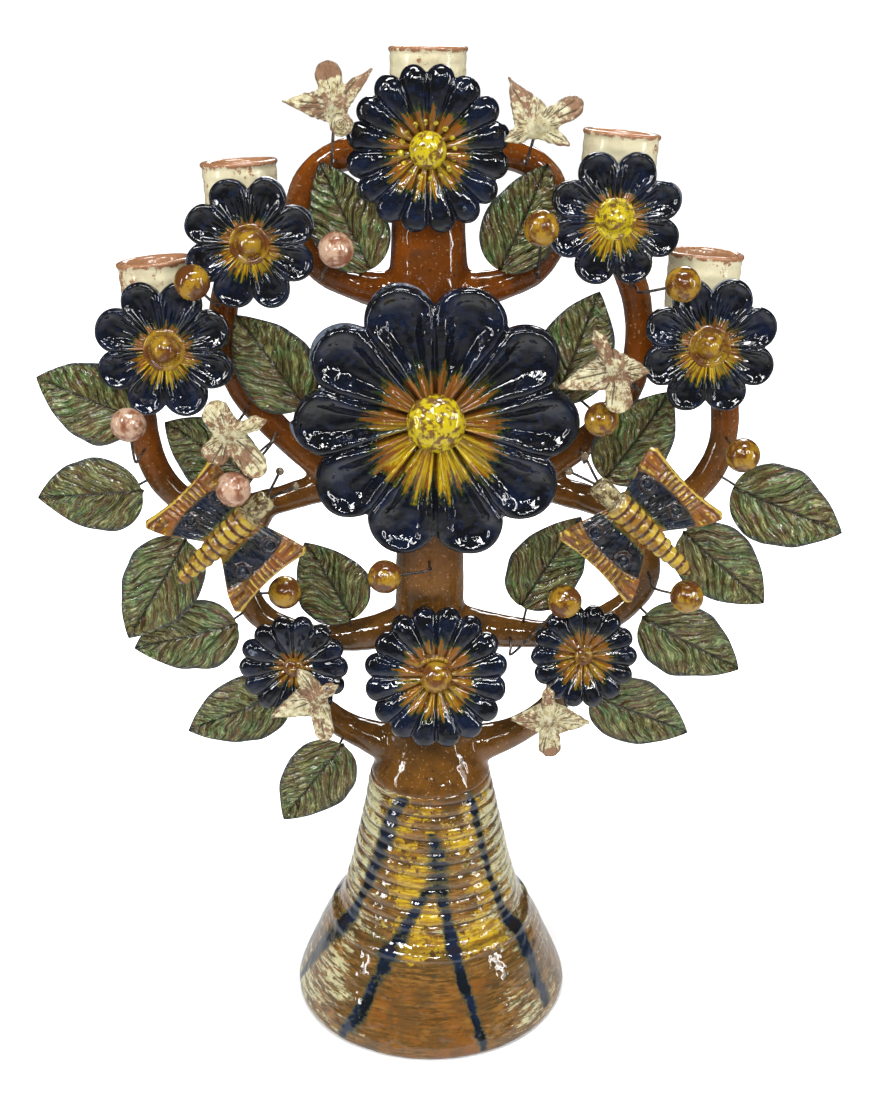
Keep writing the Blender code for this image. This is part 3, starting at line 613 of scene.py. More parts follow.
def foot_glaze():
    material, tree, place = new_glaze("running glazes on the foot")
    brushed = speckle(tree, place, 120.0, 7.0, 0.74, (0.5, 0.5, 3.4))
    scraped = speckle(tree, place, 210.0, 6.0, 0.7, (0.4, 0.4, 3.0))
    blotch = grouped(tree, MOTTLE, Vector=place, Scale=55.0, Low=0.42, High=0.58)
    fine = speckle(tree, place, 230.0, 6.0, 0.70)
    clay = tint(tree, mask(tree, scraped, 0.40, 0.60), (0.062, 0.032, 0.009), (0.190, 0.092, 0.022))
    clay = wash(tree, clay, blotch, 0.5, (0.055, 0.036, 0.015))
    ember = mask(tree, pushed(tree, carried(tree, "ember"), brushed, 2.2), 0.36, 0.80)
    clay = tint(tree, ember, clay, tint(tree, blotch, (0.160, 0.060, 0.011), (0.105, 0.048, 0.013)))
    slip = mask(tree, pushed(tree, carried(tree, "slip"), brushed, 3.0), 0.46, 0.66)
    cream = tint(tree, speckle(tree, place, 90.0, 4.0), (0.52, 0.46, 0.25), (0.24, 0.25, 0.14))
    colour = tint(tree, slip, clay, cream)
    gold = mask(tree, pushed(tree, carried(tree, "gold"), fine, 2.4), 0.48, 0.68)
    yellow = tint(tree, mask(tree, scraped, 0.36, 0.62), (0.44, 0.30, 0.020), (0.185, 0.090, 0.012))
    colour = tint(tree, gold, colour, yellow)
    moss = mask(tree, pushed(tree, carried(tree, "moss"), fine, 1.8), 0.44, 0.80)
    colour = wash(tree, colour, moss, 0.6, (0.080, 0.100, 0.040))
    brown = mask(tree, pushed(tree, carried(tree, "spill"), brushed, 1.8), 0.42, 0.62)
    colour = tint(tree, brown, colour, tint(tree, blotch, (0.150, 0.062, 0.011), (0.085, 0.042, 0.012)))
    run_edge = pushed(tree, pushed(tree, carried(tree, "run"), fine, 1.5), brushed, 1.3)
    haze = mask(tree, run_edge, 0.04, 0.42)
    colour = wash(tree, colour, haze, 0.75, (0.030, 0.042, 0.026))
    cobalt = tint(tree, blotch, (0.0048, 0.0070, 0.0085), (0.0080, 0.0130, 0.0290))
    colour = tint(tree, mask(tree, run_edge, 0.40, 0.66), colour, cobalt)
    # Darker in the ridge grooves, with a painted shadow line along the ledge, from the hollow mark.
    colour = wash(tree, colour, carried(tree, "hollow"), 0.85, (0.018, 0.010, 0.006))
    matt = maths(tree, "MULTIPLY", slip, 0.08)
    glossed(
        tree, place, colour, rough=0.05, dull=0.06, ripple=140.0, peel=700.0, depth=0.0008, more_rough=matt
    )
    return material


def cup_slip():
    material, tree, place = new_glaze("cream slip with rubbed rims")
    grit = speckle(tree, place, 240.0, 6.0, 0.7)
    rubbed = grouped(tree, RUBBED, Vector=place, Crest=carried(tree, "rim"), Scale=230.0, Amount=0.42)
    stain = grouped(tree, MOTTLE, Vector=place, Scale=60.0, Low=0.46, High=0.76)
    cream = tint(tree, speckle(tree, place, 90.0, 3.0), (0.66, 0.60, 0.40), (0.50, 0.46, 0.30))
    colour = wash(tree, cream, stain, 0.55, (0.33, 0.24, 0.13))
    chips = mask(tree, pushed(tree, carried(tree, "worn"), grit, 2.2), 0.62, 0.74)
    bare = tint(tree, speckle(tree, place, 150.0), (0.17, 0.065, 0.025), (0.33, 0.17, 0.09))
    colour = tint(tree, chips, colour, bare)
    colour = tint(tree, rubbed, colour, bare)
    bore = tint(tree, grit, (0.25, 0.10, 0.04), (0.36, 0.19, 0.10))
    colour = tint(tree, carried(tree, "inside"), colour, bore)
    glossed(tree, place, colour, rough=0.20, dull=0.2, ripple=120.0, depth=0.0008, coat=0.2)
    return material


def cobalt_glaze():
    material, tree, place = new_glaze("cobalt petals with gold rays")
    pool = grouped(tree, MOTTLE, Vector=place, Scale=55.0, Low=0.44, High=0.70)
    flecks = speckle(tree, place, 260.0, 6.0, 0.7)
    blue = tint(tree, mask(tree, flecks, 0.52, 0.66), (0.0040, 0.0044, 0.0052), (0.0075, 0.0120, 0.0300))
    blue = wash(tree, blue, pool, 0.6, (0.0060, 0.0110, 0.0300))
    crest = carried(tree, "crest")
    # On the crests the blue is laid paler: partly glaze worn thin, and partly a painted highlight along the
    # rims.
    thin = grouped(tree, RUBBED, Vector=place, Crest=crest, Scale=170.0, Amount=0.20)
    blue = wash(tree, blue, thin, 0.75, (0.140, 0.170, 0.220))
    bare = grouped(tree, RUBBED, Vector=place, Crest=crest, Scale=95.0, Amount=-0.16)
    blue = wash(tree, blue, bare, 0.6, (0.34, 0.22, 0.18))
    ray_a = streaks(tree, (1.0, 1.0, 0.16), 11.0, 3.0)
    ray_b = streaks(tree, (1.0, 1.0, 0.10), 17.0, 2.0)
    fine = speckle(tree, place, 420.0, 4.0)
    edge = pushed(tree, pushed(tree, carried(tree, "gold"), ray_a, 2.7), fine, 0.9)
    edge = maths(tree, "MULTIPLY", edge, mask(tree, carried(tree, "gold"), 0.0, 0.10))
    green = mask(tree, edge, 0.20, 0.52)
    full = mask(tree, edge, 0.42, 0.64)
    rusty = mask(tree, pushed(tree, pushed(tree, carried(tree, "rust"), ray_b, 2.8), fine, 0.8), 0.36, 0.72)
    ray = tint(tree, rusty, (0.36, 0.250, 0.006), (0.150, 0.052, 0.007))
    ray = wash(tree, ray, mask(tree, ray_b, 0.48, 0.38), 0.62, (0.060, 0.022, 0.005))
    ray = wash(tree, ray, mask(tree, ray_a, 0.44, 0.36), 0.6, (0.075, 0.045, 0.008))
    ray = wash(tree, ray, carried(tree, "hollow"), 0.85, (0.045, 0.014, 0.004))
    colour = wash(tree, blue, green, 0.75, (0.030, 0.050, 0.006))
    colour = tint(tree, full, colour, ray)
    glossed(tree, place, colour, rough=0.03, dull=0.04, ripple=150.0, peel=650.0, depth=0.0013)
    return material


def honey_glaze(name, pale, deep, low, high, scale=120.0):
    material, tree, place = new_glaze(name)
    patch = grouped(tree, MOTTLE, Vector=place, Scale=scale, Low=low, High=high)
    colour = tint(tree, patch, pale, deep)
    specks = mask(tree, speckle(tree, place, 700.0, 2.0), 0.60, 0.70)
    colour = wash(tree, colour, specks, 0.5, (0.10, 0.03, 0.008))
    glossed(tree, place, colour, rough=0.08, ripple=200.0, peel=800.0, depth=0.0008)
    return material


def leaf_glaze():
    material, tree, place = new_glaze("carved green leaf")
    fan = carried(tree, "fan", "Vector")
    phase = put(tree, "ShaderNodeSeparateXYZ", {"Vector": fan}).outputs["X"]
    wander = speckle(tree, place, 180.0, 3.0)
    bent = pushed(tree, phase, wander, 0.40)
    wave = maths(tree, "ABSOLUTE", maths(tree, "SINE", maths(tree, "MULTIPLY", bent, math.pi)))
    lines = streaks(tree, (1.0, 0.26, 1.5), 4.4, 6.0, 0.74)
    scores = streaks(tree, (1.0, 0.22, 1.2), 3.3, 5.0, 0.7)
    glints = streaks(tree, (1.0, 0.20, 1.4), 9.0, 4.0, 0.7)
    pool = grouped(tree, MOTTLE, Vector=place, Scale=65.0, Low=0.42, High=0.64)
    deep = tint(tree, pool, (0.020, 0.019, 0.006), (0.016, 0.032, 0.009))
    lit = tint(tree, pool, (0.155, 0.150, 0.045), (0.120, 0.190, 0.062))
    green = tint(tree, mask(tree, lines, 0.40, 0.60), deep, lit)
    # The palest of the streaks are a painted highlight.
    green = tint(tree, mask(tree, lines, 0.57, 0.67), green, (0.38, 0.38, 0.190))
    umber = tint(tree, speckle(tree, place, 130.0), (0.022, 0.012, 0.006), (0.150, 0.062, 0.024))
    colour = tint(tree, mask(tree, scores, 0.52, 0.62), green, umber)
    # The glints are painted highlights.
    colour = tint(tree, mask(tree, glints, 0.62, 0.70), colour, (0.42, 0.41, 0.27))
    groove = mask(tree, pushed(tree, wave, speckle(tree, place, 320.0, 5.0), 0.7), 0.50, 0.22)
    groove = maths(tree, "MULTIPLY", groove, mask(tree, speckle(tree, place, 85.0), 0.36, 0.62))
    colour = tint(tree, groove, colour, tint(tree, 0.5, umber, (0.016, 0.010, 0.005)))
    patches = grouped(tree, MOTTLE, Vector=place, Scale=70.0, Low=0.54, High=0.68)
    colour = wash(tree, colour, patches, 0.45, (0.110, 0.058, 0.026))
    colour = wash(tree, colour, carried(tree, "hollow"), 0.8, (0.014, 0.010, 0.006))
    edge = mask(tree, pushed(tree, carried(tree, "edge"), wander, 1.8), 0.35, 0.75)
    colour = wash(tree, colour, edge, 0.75, (0.018, 0.022, 0.026))
    tooled = streaks(tree, (1.0, 0.16, 1.0), 2.6, 1.5, 0.5)
    relief = maths(tree, "MULTIPLY", tooled, 2.2)
    glossed(tree, place, colour, rough=0.035, dull=0.04, ripple=240.0, peel=800.0, depth=0.0016, extra=relief)
    return material


def bird_slip():
    material, tree, place = new_glaze("rubbed cream slip")
    crest = carried(tree, "crest")
    barbs = streaks(tree, (1.0, 1.0, 0.30), 9.0, 6.0, 0.75)
    grit = speckle(tree, place, 300.0, 6.0, 0.72)
    cream = tint(tree, mask(tree, grit, 0.36, 0.62), (0.56, 0.52, 0.35), (0.36, 0.31, 0.145))
    clay = tint(tree, speckle(tree, place, 120.0), (0.120, 0.052, 0.018), (0.270, 0.150, 0.085))
    patch = grouped(tree, MOTTLE, Vector=place, Scale=85.0, Low=0.44, High=0.60)
    worn = pushed(tree, pushed(tree, maths(tree, "MULTIPLY", patch, 0.34), barbs, 1.4), grit, 2.0)
    bare = maths(tree, "MULTIPLY", carried(tree, "bare"), 0.75)
    worn = maths(tree, "ADD", maths(tree, "ADD", worn, 0.13), bare)
    colour = tint(tree, mask(tree, worn, 0.22, 0.48), cream, clay)
    ridge = mask(tree, pushed(tree, crest, grit, 1.2), 0.85, 1.25)
    colour = wash(tree, colour, ridge, 0.8, (0.120, 0.070, 0.034))
    dip = mask(tree, pushed(tree, crest, barbs, 0.9), 0.30, 0.04)
    colour = wash(tree, colour, dip, 0.85, (0.045, 0.034, 0.016))
    colour = wash(tree, colour, mask(tree, barbs, 0.42, 0.34), 0.5, (0.080, 0.052, 0.024))
    colour = tint(tree, carried(tree, "eye"), colour, (0.014, 0.024, 0.090))
    carved = maths(tree, "MULTIPLY", barbs, 1.3)
    glossed(
        tree, place, colour, rough=0.16, dull=0.2, ripple=260.0, peel=900.0, depth=0.0012, coat=0.1,
        extra=carved,
    )
    return material


def wing_glaze():
    material, tree, place = new_glaze("butterfly wing")
    pool = grouped(tree, MOTTLE, Vector=place, Scale=90.0, Low=0.42, High=0.62)
    navy = tint(tree, pool, (0.0050, 0.0054, 0.0060), (0.0075, 0.0110, 0.0220))
    haze = grouped(tree, MOTTLE, Vector=place, Scale=130.0, Low=0.50, High=0.72)
    navy = wash(tree, navy, haze, 0.45, (0.040, 0.040, 0.028))
    fine = speckle(tree, place, 300.0, 5.0)
    rust = grouped(tree, MOTTLE, Vector=place, Scale=85.0, Low=0.44, High=0.60)
    amber = tint(tree, mask(tree, fine, 0.38, 0.62), (0.065, 0.024, 0.006), (0.175, 0.088, 0.012))
    amber = tint(tree, rust, amber, tint(tree, fine, (0.120, 0.034, 0.008), (0.200, 0.072, 0.015)))
    edge = pushed(tree, carried(tree, "gold"), fine, 0.8)
    colour = tint(tree, mask(tree, edge, 0.18, 0.42), navy, (0.050, 0.058, 0.012))
    colour = tint(tree, mask(tree, edge, 0.38, 0.60), colour, amber)
    crest = carried(tree, "crest")
    # The crests are painted lighter, lemon on the band and grey-blue on the navy: partly rubbed glaze, and
    # partly a painted highlight.
    lemon = grouped(tree, RUBBED, Vector=place, Crest=crest, Scale=200.0, Amount=0.44)
    lit = tint(tree, mask(tree, edge, 0.3, 0.6), (0.020, 0.026, 0.036), (0.42, 0.31, 0.045))
    colour = tint(tree, maths(tree, "MULTIPLY", lemon, 0.75), colour, lit)
    colour = wash(tree, colour, carried(tree, "hollow"), 0.70, (0.030, 0.012, 0.005))
    glossed(tree, place, colour, rough=0.035, dull=0.045, ripple=220.0, peel=800.0, depth=0.0018)
    return material


def ringed_glaze():
    material, tree, place = new_glaze("butterfly body")
    patch = grouped(tree, MOTTLE, Vector=place, Scale=130.0, Low=0.42, High=0.60)
    grit = speckle(tree, place, 260.0, 5.0, 0.7)
    gold = tint(tree, patch, (0.33, 0.235, 0.030), (0.170, 0.080, 0.013))
    head = tint(tree, mask(tree, grit, 0.42, 0.58), (0.060, 0.034, 0.013), (0.29, 0.25, 0.125))
    colour = tint(tree, carried(tree, "head"), gold, head)
    groove = mask(tree, pushed(tree, carried(tree, "hollow"), grit, 0.9), 0.12, 0.60)
    colour = tint(tree, groove, colour, tint(tree, patch, (0.075, 0.026, 0.008), (0.034, 0.014, 0.006)))
    glossed(tree, place, colour, rough=0.04, dull=0.05, ripple=220.0, peel=800.0, depth=0.0018)
    return material


def iron():
    material, tree, place = new_glaze("annealed iron wire")
    rust = grouped(tree, MOTTLE, Vector=place, Scale=300.0, Low=0.50, High=0.66)
    colour = tint(tree, rust, (0.050, 0.048, 0.046), (0.110, 0.060, 0.035))
    shader = tree.nodes["Principled BSDF"]
    tree.links.new(colour, shader.inputs["Base Color"])
    tree.links.new(maths(tree, "SUBTRACT", 0.85, rust), shader.inputs["Metallic"])
    tree.links.new(mask(tree, speckle(tree, place, 500.0), 0.0, 1.4), shader.inputs["Roughness"])
    bump = put(tree, "ShaderNodeBump", {"Height": speckle(tree, place, 900.0), "Distance": 0.0002})
    tree.links.new(bump.outputs["Normal"], shader.inputs["Normal"])
    return material


BROWN = brown_glaze()
FOOT = foot_glaze()
CREAM = cup_slip()
COBALT = cobalt_glaze()
BEAD = honey_glaze("feeler bead", (0.040, 0.034, 0.022), (0.115, 0.085, 0.050), 0.42, 0.60, 200.0)
YELLOW = honey_glaze("yellow flower heart", (0.38, 0.30, 0.008), (0.110, 0.056, 0.010), 0.46, 0.58, 260.0)
AMBER_HEART = honey_glaze("amber flower heart", (0.23, 0.135, 0.008), (0.085, 0.028, 0.006), 0.38, 0.58)
AMBER = honey_glaze("amber berry", (0.23, 0.130, 0.010), (0.075, 0.026, 0.006), 0.42, 0.56, 110.0)
PALE = honey_glaze("berry with rubbed slip", (0.36, 0.24, 0.165), (0.15, 0.055, 0.026), 0.42, 0.60, 130.0)
LEAF = leaf_glaze()
BIRD = bird_slip()
WING = wing_glaze()
RINGED = ringed_glaze()
IRON = iron()


# ---------------------------------------------------------------- clay body, foot and cups


def arm_rod(outline, start, end, start_reach=7, end_reach=6):
    """One arm, thicker where it is luted on at its start, with its end radius eased in."""
    path = smooth_path([at(x, z) for x, z in outline], 5)
    last = len(path) - 1
    radii = []
    for i in range(len(path)):
        r = ARM_R + (start - ARM_R) * (1 - ease(0, start_reach, i))
        r += (end - ARM_R) * (1 - ease(0, end_reach, last - i))
        radii.append(r * (1 + 0.035 * grain(path[i], 40.0, start)))
    return rod(path, radii, 4)


def make_clay_body():
    """The trunk, its arms and its ring, kneaded into one."""
    flare = [
        (0.0364, 0.1500), (0.0374, 0.1508), (0.0375, 0.1524), (0.0369, 0.1545), (0.0352, 0.1585),
        (0.0324, 0.1638),
    ]
    flare += [(0.0275, 0.1770), (0.0230, 0.1950), (0.0208, 0.2200)]
    shaft = [
        (TRUNK_R, 0.2600), (0.0202, 0.3000), (0.0212, 0.3400), (0.0204, 0.3900), (0.0205, 0.4400),
        (0.0214, 0.4650),
    ]
    neck = [(0.0205, 0.4900), (0.0205, 0.5200), (0.0200, 0.5398), (0.0, 0.5398)]
    parts = [thrown([(0.0, 0.1500), *flare, *shaft, *neck], 48)]
    for side in (1, -1):
        parts.append(arm_rod([(side * x, z) for x, z in RING], FLARE_R * 0.75, FLARE_R * 0.85, 14, 14))
    for outline in (INNER_LEFT, INNER_RIGHT):
        parts.append(arm_rod(outline, FLARE_R, COLLAR_R, 14, 3))
    for outline in (OUTER_LEFT, OUTER_RIGHT):
        parts.append(arm_rod(outline, ARM_R, COLLAR_R, 5, 3))
    for outline in (LOOP_LEFT, LOOP_RIGHT):
        parts.append(arm_rod(outline, ARM_R * 0.9, FLARE_R, 5, 15))
    for outline in (BOTTOM_LEFT, BOTTOM_RIGHT):
        parts.append(arm_rod(outline, FLARE_R * 1.1, ARM_R, 16, 5))
    body = knead(gather(*parts), BODY_PITCH, 7)
    for v in body.verts:
        v.co += v.normal * (0.00055 * grain(v.co, 55.0) + 0.00022 * grain(v.co, 150.0, 3.0))
    nodes = ["trunk"]
    for side in ("left", "right"):
        nodes += [f"arm_inner_{side}", f"arm_outer_{side}", f"arm_lower_{side}"]
    fire("clay_body", body, BROWN, "tree", "brown_glaze", *nodes)


def run_share(turn, height, radius):
    """How surely a point of the foot lies under one of the cobalt runs: 1 in its middle, 0 well outside."""
    best = 0.0
    for knots in RUNS:
        for (a0, z0, w0), (a1, z1, w1) in zip(knots, knots[1:]):
            share = (z0 - height) / (z0 - z1)
            if not 0.0 <= share <= 1.0:
                continue
            angle = a0 + (a1 - a0) * share
            width = RUN_SHARE * (w0 + (w1 - w0) * share)
            off = abs((turn - angle + 180) % 360 - 180)
            across = math.radians(off) * radius * 1000
            best = max(best, ease(1.15, 0.15, across / width))
    return best


def make_foot():
    """The thrown foot, hollow underneath, with the places of its glazes marked on its points."""
    skirt = [
        (0.0765, 0.0), (0.0835, 0.0003), (0.0858, 0.0022), (0.0862, 0.0060), (0.0846, 0.0110),
        (0.0822, 0.0170),
    ]
    slope = [
        (0.0792, 0.0240), (0.0760, 0.0310), (0.0730, 0.0385), (0.0700, 0.0450), (0.0672, 0.0500),
        (0.0650, 0.0540),
    ]
    ledge = [(0.0645, 0.0565), (0.0630, 0.0590), (0.0600, 0.0615), (0.0578, 0.0640), (0.0568, 0.0670)]
    outline = smooth_outline([*skirt[1:], *slope, *ledge], 3)
    height = NECK_MM / 1000
    while height < FOOT_H - 0.0007:
        share = (height - NECK_MM / 1000) / 0.084
        outline.append((0.0556 - 0.0220 * share + 0.0036 * share * share, height))
        height += 0.00075
    inside = [
        (0.0366, FOOT_H), (0.0, FOOT_H), (0.0, 0.1410), (0.0250, 0.1390), (0.0340, 0.1200),
        (0.0420, 0.0900),
    ]
    hollow = [(0.0480, 0.0660), (0.0560, 0.0540), (0.0640, 0.0400), (0.0710, 0.0220), (0.0765, 0.0)]
    bm = thrown([skirt[0], *outline, *inside, *hollow], 320)
    layers = new_marks(bm, "run", "slip", "gold", "moss", "ember", "hollow", "spill")
    for v in bm.verts:
        radius = math.hypot(v.co.x, v.co.y)
        z = v.co.z * 1000
        if radius < TOUCHING:
            continue
        # Part of the hollow underneath is left plain.
        plain_within = 80.0 - 0.43 * z - (0.0066 * z * z if z < 40 else 0.0)
        if radius * 1000 < plain_within and z < 152:
            continue
        turn = math.degrees(math.atan2(v.co.x, -v.co.y))
        ridge = abs(math.sin(math.pi * (z / RIDGE_MM + turn / 360)))
        on_neck = ease(NECK_MM, NECK_MM + 5, z)
        wander = 5.0 * grain(v.co, 28.0, 1.0) + 2.5 * grain(v.co, 90.0, 2.0)
        run = run_share(turn + wander * 0.6, z, radius)
        thinned = 1 - 0.42 * on_neck * ease(0.55, 1.0, ridge)
        v[layers["run"]] = run * thinned * (0.92 + 0.5 * grain(v.co, 60.0, 3.0))
        side = ease(22, 58, abs(turn)) * (1 - 0.25 * ease(120, 180, abs(turn)))
        upper = ease(50, 64, z)
        left = ease(-20, -60, turn) * ease(-130, -90, turn)
        v[layers["slip"]] = (
            0.02 + 0.40 * side * (0.55 + 0.45 * upper) + 0.12 * upper + 0.20 * left * ease(60, 45, z)
            + 0.42 * grain(v.co, 34.0, 5.0) + 0.10 * ease(0.5, 1.0, ridge) * on_neck
        )
        front = ease(75, 12, abs(turn - GLOW_TURN))
        v[layers["gold"]] = (
            (0.38 * front + 0.16) * upper + 0.55 * grain(v.co, 42.0, 7.0) + 0.35 * grain(v.co, 95.0, 2.0)
            - 0.20 * ease(62, 48, z) + 0.10 * front * ease(40, 52, z) - 0.10 * ease(0.5, 0.1, ridge) * on_neck
        )
        v[layers["moss"]] = 0.20 * ease(30, 90, abs(turn)) + 0.5 * grain(v.co, 30.0, 9.0) + 0.2 * upper
        glow = ease(60, 10, abs(turn - GLOW_TURN)) * ease(56, 38, z)
        v[layers["ember"]] = glow * 0.62 + 0.5 * grain(v.co, 25.0, 4.0)
        v[layers["spill"]] = ease(143, 155, z + 14 * grain(v.co, 26.0, 8.0)) * 0.8
        # The hollow mark darkens the grooves between the ridges and paints a shadow line along the ledge.
        groove = ease(0.42, 0.0, ridge) * on_neck * (0.85 + 0.7 * grain(v.co, 45.0, 6.0))
        v[layers["hollow"]] = groove + ease(3.0, 0, abs(z - LEDGE_MM)) * 0.55
        ripple = 0.0013 * (ridge**0.6 - 0.65) * on_neck * ease(152.5, 147.0, z)
        ripple += 0.00055 * grain(v.co, 38.0) + 0.00022 * grain(Vector((v.co.x, v.co.y, v.co.z * 4)), 110.0)
        swell(v.co, radius, ripple)
    fire("thrown_foot", bm, FOOT, "tree", "base_glaze", "pedestal")


def smooth_outline(points, per):
    """A lathe outline with its corners eased."""
    return [(p.x, p.z) for p in smooth_path([Vector((r, 0, z)) for r, z in points], per)]


def make_cups():
    """Five thrown candle cups, each leaning as it dried."""
    for index, (name, (x, z, lean)) in enumerate(CUPS.items()):
        wall = [(0.0, 0.0), (0.0150, 0.0), (0.0178, 0.0016), (0.0192, 0.0045), (0.0198, 0.0090)]
        for step in range(25):
            height = 0.0110 + step * 0.00108
            wall.append((0.0202 + 0.00014 * math.sin(step * 0.95 + index), height))
        lip = [
            (0.0208, 0.0378), (0.0211, 0.0387), (0.0208, 0.0396), (0.0199, 0.0401), (0.0186, 0.0400),
            (0.0175, 0.0394),
        ]
        bore = [
            (0.0168, 0.0380), (0.0163, 0.0340), (0.0161, 0.0250), (0.0159, 0.0150), (0.0150, 0.0102),
            (0.0125, CUP_FLOOR),
        ]
        bm = thrown([*wall, *lip, *bore, (0.0, CUP_FLOOR)], 96)
        rim, inside, worn = new_marks(bm, "rim", "inside", "worn").values()
        chipped = 0.32 if "left" in name else 0.15
        for v in bm.verts:
            radius = math.hypot(v.co.x, v.co.y)
            v[rim] = ease(0.0335, 0.0400, v.co.z) + 0.42 * ease(0.010, 0.0, v.co.z)
            v[inside] = ease(0.0178, 0.0166, radius) * ease(0.0085, 0.0095, v.co.z)
            patch = grain(v.co, 55.0, index * 4.0 + 2.0)
            v[worn] = chipped + 0.45 * patch + 0.18 * ease(0.020, 0.036, v.co.z)
            if radius > TOUCHING:
                swell(v.co, radius, 0.0005 * grain(v.co, 38.0, index * 3.0 + 1.0))
            v.co.z += 0.0006 * grain(v.co, 30.0, index * 5.0) * ease(0.03, 0.04, v.co.z)
        tilt = Matrix.Rotation(math.radians(lean), 3, "Y")
        bmesh.ops.rotate(bm, matrix=tilt, cent=(0, 0, 0), verts=bm.verts)
        bmesh.ops.translate(bm, vec=at(x, z), verts=bm.verts)
        fire(name + "_thrown", bm, CREAM, "tree", "cream_glaze", name)


# ---------------------------------------------------------------- flowers


def lobe(petals):
    """The radius of a petal's round end, as a share of the flower's."""
    swing = math.sin(math.pi / petals)
    return swing / (0.90 + swing)


def petal_relief(kind, near, reach, size, rim):
    """The height of a petal's face in metres, from the distance to its edge and its place."""
    climb = min(1.0, near / rim)
    rise = math.sqrt(max(0.0, 1 - (1 - climb) ** 2))
    if kind != "spoon":
        return 0.088 * size * rise
    bowl = 1 - math.exp(-((max(0.0, near - rim) / (0.075 * size)) ** 2))
    return size * (0.066 * rise - 0.086 * bowl * ease(0.16, 0.50, reach))


def pressed_flower(size, thick, petals, kind, gold_reach, seed, per):
    """A flower facing +Z: a turned disc, with its petals pressed into it."""
    reaches = [0.0, 0.06]
    while reaches[-1] < 0.985:
        reaches.append(reaches[-1] + (0.024 if reaches[-1] < 0.6 else 0.0135))
    reaches[-1] = 1.0
    bm = bmesh.new()
    level = bm.verts.layers.float.new("level")
    points = []
    for reach in reaches:
        points.append(bm.verts.new((reach, 0, 0)))
        points[-1][level] = 1.0
    behind = ((1.003, 0.72), (0.997, 0.42), (0.97, 0.16), (0.88, 0.0), (0.6, 0.0), (0.3, 0.0), (0.0, 0.0))
    for reach, low in behind:
        points.append(bm.verts.new((reach, 0, -0.01 - 0.01 * len(points))))
        points[-1][level] = low
    turn_round(bm, points, petals * per)
    crest, hollow, gold, rust = new_marks(bm, "crest", "hollow", "gold", "rust").values()
    fan = bm.verts.layers.float_vector.new("fan")
    half = math.pi / petals
    round_end = lobe(petals)
    neck = 1 - round_end
    spoon = kind == "spoon"
    rim = size * (0.034 if spoon else 0.120)
    ribs = 5 if petals == 8 else 3
    gold_sag = 0.07 if spoon else 0.02
    rust_swing = 0.34 if spoon else 0.12
    for v in bm.verts:
        reach = math.hypot(v.co.x, v.co.y)
        turn = math.atan2(v.co.y, v.co.x)
        dial = Vector((math.cos(turn), math.sin(turn), 0))
        place = (turn - math.pi / 2) / (2 * half) + 0.07 * grain(dial, 2.2, seed)
        across = 2 * (place % 1.0) - 1
        petal = math.floor(place)
        own = noise.noise(Vector((petal * 1.7, seed, 0.5)))
        swing = across * half
        outline = neck * math.cos(swing) + math.sqrt(max(0.0, round_end**2 - (neck * math.sin(swing)) ** 2))
        outline *= 1 + 0.035 * own * (1 - across**2)
        r = reach * outline
        side_gap = r * math.sin(half * (1 - abs(across)))
        ahead = max(0.0, r * math.cos(swing) - neck)
        end_gap = round_end
        if ahead > 0:
            end_gap = max(0.0, round_end * (1 + 0.035 * own) - math.hypot(ahead, r * math.sin(swing)))
        near = size / (1 / max(side_gap, 1e-5) ** 4 + 1 / max(end_gap, 1e-5) ** 4) ** 0.25
        relief = petal_relief(kind, near, reach, size, rim)
        base = thick * (0.36 + 0.26 * ease(0.2, 0.75, reach) - 0.10 * ease(0.8, 1.0, reach))
        rib = 0.0135 * size * math.cos(math.pi * ribs * across)
        rib = rib * ease(0.86, 0.46, reach) * ease(0.12, 0.26, reach)
        scratch = noise.noise(dial * 18 + Vector((0, 0, reach * 1.5 + seed)))
        scratch = 0.005 * size * scratch * ease(0.15, 0.3, reach)
        lump = 0.006 * size * noise.noise(Vector((r * dial.x, r * dial.y, 0)) * 7 + Vector((seed, 0, 0)))
        front = base + relief + lump
        if spoon:
            front += rib + scratch * ease(0.95, 0.55, reach)
        else:
            front += scratch
        ray = gold_reach - gold_sag * math.sin(turn)
        on_face = v[level] > 0.9
        v[gold] = ease(0.17, -0.17, reach - ray) if on_face else 0.0
        v[rust] = 0.68 + rust_swing * math.sin(turn) + 0.25 * ease(0.6, 1.1, reach / ray)
        edge = ease(0.95 * rim, 0.1 * rim, size * end_gap) if spoon else 0.75 * ease(0.6, 1.0, near / rim)
        v[crest] = edge * ease(0.45, 0.8, reach) * (0.8 + 0.5 * own)
        seam = ease(0.7 * min(rim, 0.05 * size), 0.0, size * side_gap) * ease(0.10, 0.2, reach)
        v[hollow] = seam if on_face else 0.0
        v[fan] = (dial.x, dial.y, reach)
        v.co = Vector((r * size * dial.x, r * size * dial.y, front * v[level]))
    return bm


